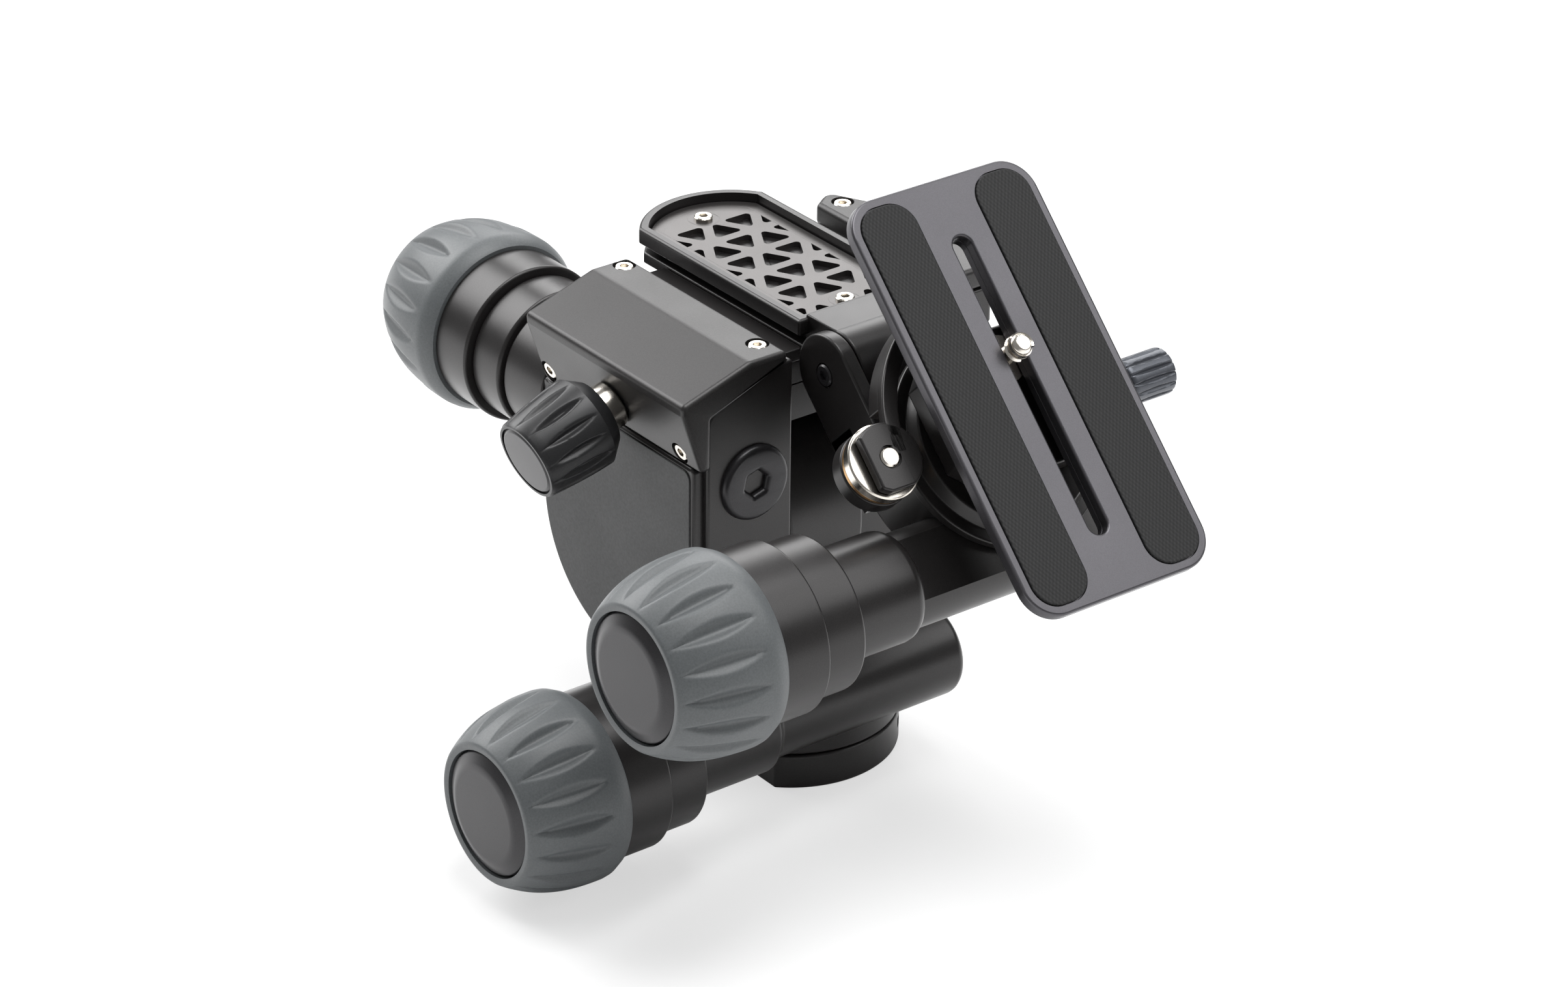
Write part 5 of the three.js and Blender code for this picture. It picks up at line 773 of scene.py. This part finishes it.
# %% Turntable and its lug
table = [(0, 22.4), (28.2, 22.4), (28.2, 25.0), (25.1, 25.0), (23.5, 28.2), (0, 28.2)]
table = revolve("table", table, ARM @ moved(REACH, 0, 0), [0, 0.4, 0.6, 0.5, 0.8, 0], 128)
PIN = (31.4, -37.4)
PIVOT = ARM @ moved(*PIN, 0)
lug = [(0, 22.4), (9.6, 22.4), (9.6, 27.1), (0, 27.1)]
lug = revolve("lug", lug, PIVOT, [0, 0.5, 0.6, 0], 96)
piece(joined("table_shell", table, lug), "table", "turntable", black, "turntable")

# %% Clamp
MIDDLE = 28.2

def clamp_outline(near, far, half=18.5, corner=7.6):
    low, high = MIDDLE - half, MIDDLE + half
    points = [(low + corner, near), (high - corner, near), (high, near + corner), (high, far - corner)]
    return points + [(high - corner, far), (low + corner, far), (low, far - corner), (low, near + corner)]

bed = prism("bed", [filleted(clamp_outline(-21.2, 21.2), 0.8)], 28.3, 36.2, ARM, 0.9)
near_jaw = [(17.3, -21.2), (39.1, -21.2), (46.7, -15.7), (9.7, -15.7)]
near_jaw = prism("near_jaw", [filleted(near_jaw, 0.6)], 35.8, 42.4, ARM, 0.7)
piece(joined("bed_shell", bed, near_jaw), "table", "clamp_bed", black, "clamp_bed")
jaw_top = [(9.7, 15.7), (46.7, 15.7), (46.7, 20.6), (39.1, 28.2), (17.3, 28.2), (9.7, 20.6)]
jaw_top = prism("jaw_top", [filleted(jaw_top, 0.6)], 36.8, 42.4, ARM, 0.8)
jaw_leg = filleted([(11.0, 21.7), (45.4, 21.7), (39.1, 28.2), (17.3, 28.2)], 0.5)
jaw_leg = prism("jaw_leg", [jaw_leg], 28.6, 38, ARM, 0.6)
piece(joined("jaw_shell", jaw_top, jaw_leg), "jaw", "clamp_jaw", black, "clamp_jaw")

# %% Clamp knob
knob_place = ARM @ moved(33, 0, 33.4) @ turned(-90, "X")
body = [(1.9, 33), (4.6, 33), (5.6, 33.6)] + [(6, 34.3 + 0.75 * k) for k in range(17)]
body += [(5.9, 46.8), (5.0, 47.5), (1.9, 47.5)]
knob = revolve("clamp_grip", body, ROW, 0, 14 * 14, ring=True)
knob = grown(knob, flutes, knob_place, Flutes=14.0, Depth=0.0008, Start=0.0322, End=0.0492,
             Half_width=0.28, Least_radius=0.0047, Finish=blue_grey)
piece(knob, "jaw_drive", "clamp_knob", blue_grey, "clamp_knob")

# %% [markdown]
# The release lever swings on a pin beside the clamp. Its boss is a disc with two sides cut
# flat, and a curved arm runs from it round the turntable. A bright ring lies under it, and
# a thin bronze washer keeps the ring from scraping the lug.

# %% Lever, ring, washer and pin
OUTER = 36.3
start = -TURN / 4 - math.atan((REACH - PIN[0]) / -PIN[1])
end = start - 1.25
band = arc(REACH, 0, OUTER, start, end, 40) + arc(REACH, 0, 32, end, start, 40)
arm_low = prism("lever_arm", [filleted(band, [0] * 40 + [2, 2] + [0] * 40)], 31.6, 34.4, ARM, 0.6)
lip = arc(REACH, 0, OUTER, start - 0.34, end, 32) + arc(REACH, 0, 33.0, end, start - 0.34, 32)
lip = prism("lever_lip", [filleted(lip, [1] + [0] * 31 + [2, 2] + [0] * 31 + [1])], 26.9, 32.5, ARM, 0.6)
boss = arc(*PIN, 8.8, 0.4, 3.85, 56) + [(38.1, -43.1), (39.5, -40.8)]
boss = prism("lever_boss", [filleted(boss, [1.2] + [0] * 55 + [1.2, 1.2, 1.2])], 31.6, 34.4, ARM, 0.6)
well = [(0, 33.6), (3.0, 33.6), (3.0, 36), (0, 36)]
boss = carve(boss, revolve("pin_well", well, PIVOT, 0, 48))
piece(joined("lever_shell", boss, arm_low, lip), "release_lever", "lever", black, "lever")
ring = [(4.0, 28.3), (9.2, 28.3), (9.6, 28.7), (9.6, 30.9), (9.2, 31.3), (4.0, 31.3)]
ring = revolve("bright_ring", ring, PIVOT, 0.1, 128, ring=True)
piece(ring, "release_lever", "lever_ring", nickel, "lever_ring")
washer = [(2.5, 27.2), (9.3, 27.2), (9.3, 28.2), (2.5, 28.2)]
washer = revolve("washer", washer, PIVOT, 0.15, 96, ring=True)
piece(washer, "table", "lever_washer", bronze, "lever_washer")
screw_set("pin_head", "table", "lever_pin", [((*PIN, 33.2), UP)], [], nickel, ARM,
          Head_radius=0.0026, Head_height=0.0014, Socket_radius=0.0013)

# %% [markdown]
# The plate is milled from one bar: rounded corners, a chamfered edge, a slot for the camera
# screw and a dovetail below. The two pads are glued into shallow pockets, and they are
# soft, so each gets a full rounded edge.

# %% Plate
HALF_LENGTH = 55
HALF_WIDTH = 28
TAIL_LENGTH = 51
SLOT_LENGTH = 39.8
SLOT_WIDTH = 2.8

def plate_box(length, near, far, *rounding):
    return box_outline(MIDDLE - length, near, MIDDLE + length, far, *rounding)

outer = plate_box(HALF_LENGTH, -HALF_WIDTH, HALF_WIDTH, 9, 14)
slot = plate_box(SLOT_LENGTH, -SLOT_WIDTH, SLOT_WIDTH, 2.79, 12)
slab = prism("slab", [outer, slot], 42.8, 46.2, ARM, 0.7)
pockets = []
for side in (-1, 1):
    low, high = sorted((side * 9.2, side * 25.8))
    pockets.append(prism("pocket", [plate_box(52.8, low, high, 6.8, 12)], 45.3, 47, ARM, 0.05))
slab = carve(slab, *pockets)
tails = []
for side in (-1, 1):
    profile = [(7, 43.3), (7, 36.8), (18.6, 36.8), (15.4, 42.8), (15.4, 43.3)]
    profile = filleted([(side * y, z) for y, z in profile], 0.2)
    tails.append(prism("tail", [profile], MIDDLE - TAIL_LENGTH, MIDDLE + TAIL_LENGTH, ARM @ YZ, 0.3))
inner = plate_box(SLOT_LENGTH, -SLOT_WIDTH, SLOT_WIDTH, 2.79)
ledge = prism("ledge", [plate_box(TAIL_LENGTH, -7.2, 7.2), inner], 41.2, 43.2, ARM, 0.1)
piece(joined("plate_shell", slab, ledge, *tails), "plate", "quick_plate", plate_grey, "quick_plate")

# %% Pads
for side, label in ((-1, "near"), (1, "far")):
    low, high = sorted((side * 9.5, side * 25.5))
    strip = plate_box(52.5, low, high, 6.5, 14)
    strip = prism("pad_" + label, [strip], 45.35, 46.7, ARM, 0.35)
    strip = piece(strip, "plate", "plate_pad_" + label, pad, "plate_pad_" + label)

# %% Tree that winds a thread
thread = Tree(
    bpy.data.node_groups.new("wound thread", "GeometryNodeTree"),
    [("Core", "Geometry"), ("Radius", "Float", 0.003), ("Pitch", "Float", 0.00127),
     ("Length", "Float", 0.008), ("Foot", "Float", 0.0), ("Finish", "Material")],
    [("Screw", "Geometry")],
)
turns = thread.math("DIVIDE", thread.given["Length"], thread.given["Pitch"])
crest = thread.given["Radius"]
helix = thread.add("GeometryNodeCurveSpiral", Resolution=40, Rotations=turns, Start_Radius=crest,
                   End_Radius=crest, Height=thread.given["Length"])
ridge = thread.add("GeometryNodeCurvePrimitiveCircle", {"mode": "RADIUS"}, Resolution=4,
                   Radius=thread.math("MULTIPLY", thread.given["Pitch"], 0.42))
helix = thread.add("GeometryNodeCurveToMesh", Curve=helix, Profile_Curve=ridge, Fill_Caps=True)
helix = thread.add("GeometryNodeTransform", Geometry=helix,
                   Translation=thread.add("ShaderNodeCombineXYZ", Z=thread.given["Foot"]))
both = thread.add("GeometryNodeJoinGeometry", out=None)
thread.link(helix, both.inputs[0])
thread.link(thread.given["Core"], both.inputs[0])
thread.close(both.outputs[0], "Screw")

# %% Camera screw
bolt = [(0, 38.5), (6.2, 38.5), (6.2, 40.9), (2.3, 40.9), (2.3, 46.5)]
bolt += [(2.75, 46.7), (2.75, 50.2), (1.9, 51.1), (0, 51.2)]
bolt = revolve("camera_bolt", bolt, ROW, [0, 0.3, 0.3, 0, 0, 0, 0.8, 0.6, 0], 64)
bolt = grown(bolt, thread, ARM @ moved(19.2, 0, 0), Radius=0.00272, Length=0.0036, Foot=0.0467,
             Finish=nickel)
piece(bolt, "camera_bolt", "camera_screw", nickel, "camera_screw")

# %% [markdown]
# What is left of the plain model is mostly hidden: worms, wheels and axles show only
# through gaps. They keep their own meshes and get a finish each.

# %% Finishes for plain pieces
hidden = {"wheel": bronze, "worm": nickel, "screw": nickel, "axle": nickel, "pin": nickel}
for name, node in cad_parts.items():
    match = [finish for key, finish in hidden.items() if key in name]
    node.data.materials.clear()
    node.data.materials.append(match[0] if match else black)
print("plain pieces finished:", len(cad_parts))

# %% [markdown]
# The photo is a catalogue picture: a white surround, broad lights on the left, behind, on
# the right and overhead, and a pale shadow below. Dark glossy metal shows what it faces,
# so wide light panels draw the soft streaks along tubes and edges, and a dim surround
# keeps the faces that look away from them black. The floor glows a little for the camera
# only, which keeps its shadow pale without lighting the object from below.

# %% Camera
camera_data = bpy.data.cameras.new("camera")
camera_data.lens = 114.75
camera_data.sensor_width = 36
camera_data.clip_start = 0.01
camera = bpy.data.objects.new("camera", camera_data)
bpy.context.scene.collection.objects.link(camera)
right = Vector((0.60644, 0.79508, 0.01036))
up = Vector((-0.37632, 0.27551, 0.88454))
back = Vector((0.7004, -0.5403, 0.4663))
spot = (0.8811, -0.6821, 0.6570)
camera.matrix_world = Matrix([(right[i], up[i], back[i], spot[i]) for i in range(3)] + [(0, 0, 0, 1)])
bpy.context.scene.camera = camera
print("camera", spot, "lens", camera_data.lens)

# %% Floor and surround
floor_mesh = bpy.data.meshes.new("floor")
floor_mesh.from_pydata([(-4, -4, 0), (4, -4, 0), (4, 4, 0), (-4, 4, 0)], [], [(0, 1, 2, 3)])
floor = link("floor", floor_mesh)
paper = bpy.data.materials.new("white_paper")
paper.use_nodes = True
tree = Tree(paper.node_tree)
shader = paper.node_tree.nodes["Principled BSDF"]
spot = tree.add("ShaderNodeTexCoord", out=3)
fibres = tree.add("ShaderNodeTexNoise", Vector=spot, Scale=60.0, Detail=3.0)
fibres = tree.add("ShaderNodeMapRange", Value=fibres, To_Min=0.97, To_Max=0.99)
tree.link(fibres, shader.inputs["Base Color"])
shader.inputs["Roughness"].default_value = 0.9
lit = tree.add("ShaderNodeEmission", Color=(1, 1, 1, 1), Strength=1.0)
seen = tree.math("MULTIPLY", tree.add("ShaderNodeLightPath", out="Is Camera Ray"), 0.6)
blend = tree.add("ShaderNodeMixShader", out=None)
tree.link(seen, blend.inputs[0])
tree.link(shader.outputs[0], blend.inputs[1])
tree.link(lit, blend.inputs[2])
tree.link(blend.outputs[0], paper.node_tree.nodes["Material Output"].inputs["Surface"])
floor_mesh.materials.append(paper)

world = bpy.data.worlds.new("surround")
bpy.context.scene.world = world
world.use_nodes = True
world.node_tree.nodes.clear()
tree = Tree(world.node_tree)
path = tree.add("ShaderNodeLightPath", out=None)
soft = tree.add("ShaderNodeBackground", Color=(1, 1, 1, 1), Strength=0.27)
white = tree.add("ShaderNodeBackground", Color=(1, 1, 1, 1), Strength=1.0)
mix = tree.add("ShaderNodeMixShader", out=None)
tree.link(path.outputs["Is Camera Ray"], mix.inputs[0])
tree.link(soft, mix.inputs[1])
tree.link(white, mix.inputs[2])
out = tree.add("ShaderNodeOutputWorld", out=None)
tree.link(mix.outputs[0], out.inputs["Surface"])
print("floor 8 m square, surround", soft.node.inputs["Strength"].default_value)

# %% Light panels
def panel_light(name, place, target, size, energy):
    light = bpy.data.lights.new(name, "AREA")
    light.shape = "RECTANGLE"
    light.size, light.size_y = size
    light.energy = energy
    obj = bpy.data.objects.new(name, light)
    bpy.context.scene.collection.objects.link(obj)
    obj.location = place
    obj.rotation_euler = (Vector(target) - Vector(place)).to_track_quat("-Z", "Y").to_euler()

panel_light("left", (-0.95, -0.25, 0.8), (0, 0, 0.08), (0.8, 0.8), 15)
panel_light("behind", (-0.75, 0.75, 0.72), (0, 0, 0.1), (0.9, 0.5), 7.5)
panel_light("right", (0.62, 0.72, 0.98), (0, 0, 0.1), (0.9, 0.7), 6)
panel_light("overhead", (0.15, 0.1, 1.25), (0, 0, 0.08), (0.9, 0.7), 14)
bpy.context.scene.view_settings.view_transform = "Standard"
print("light panels:", ", ".join(light.name for light in bpy.data.lights))
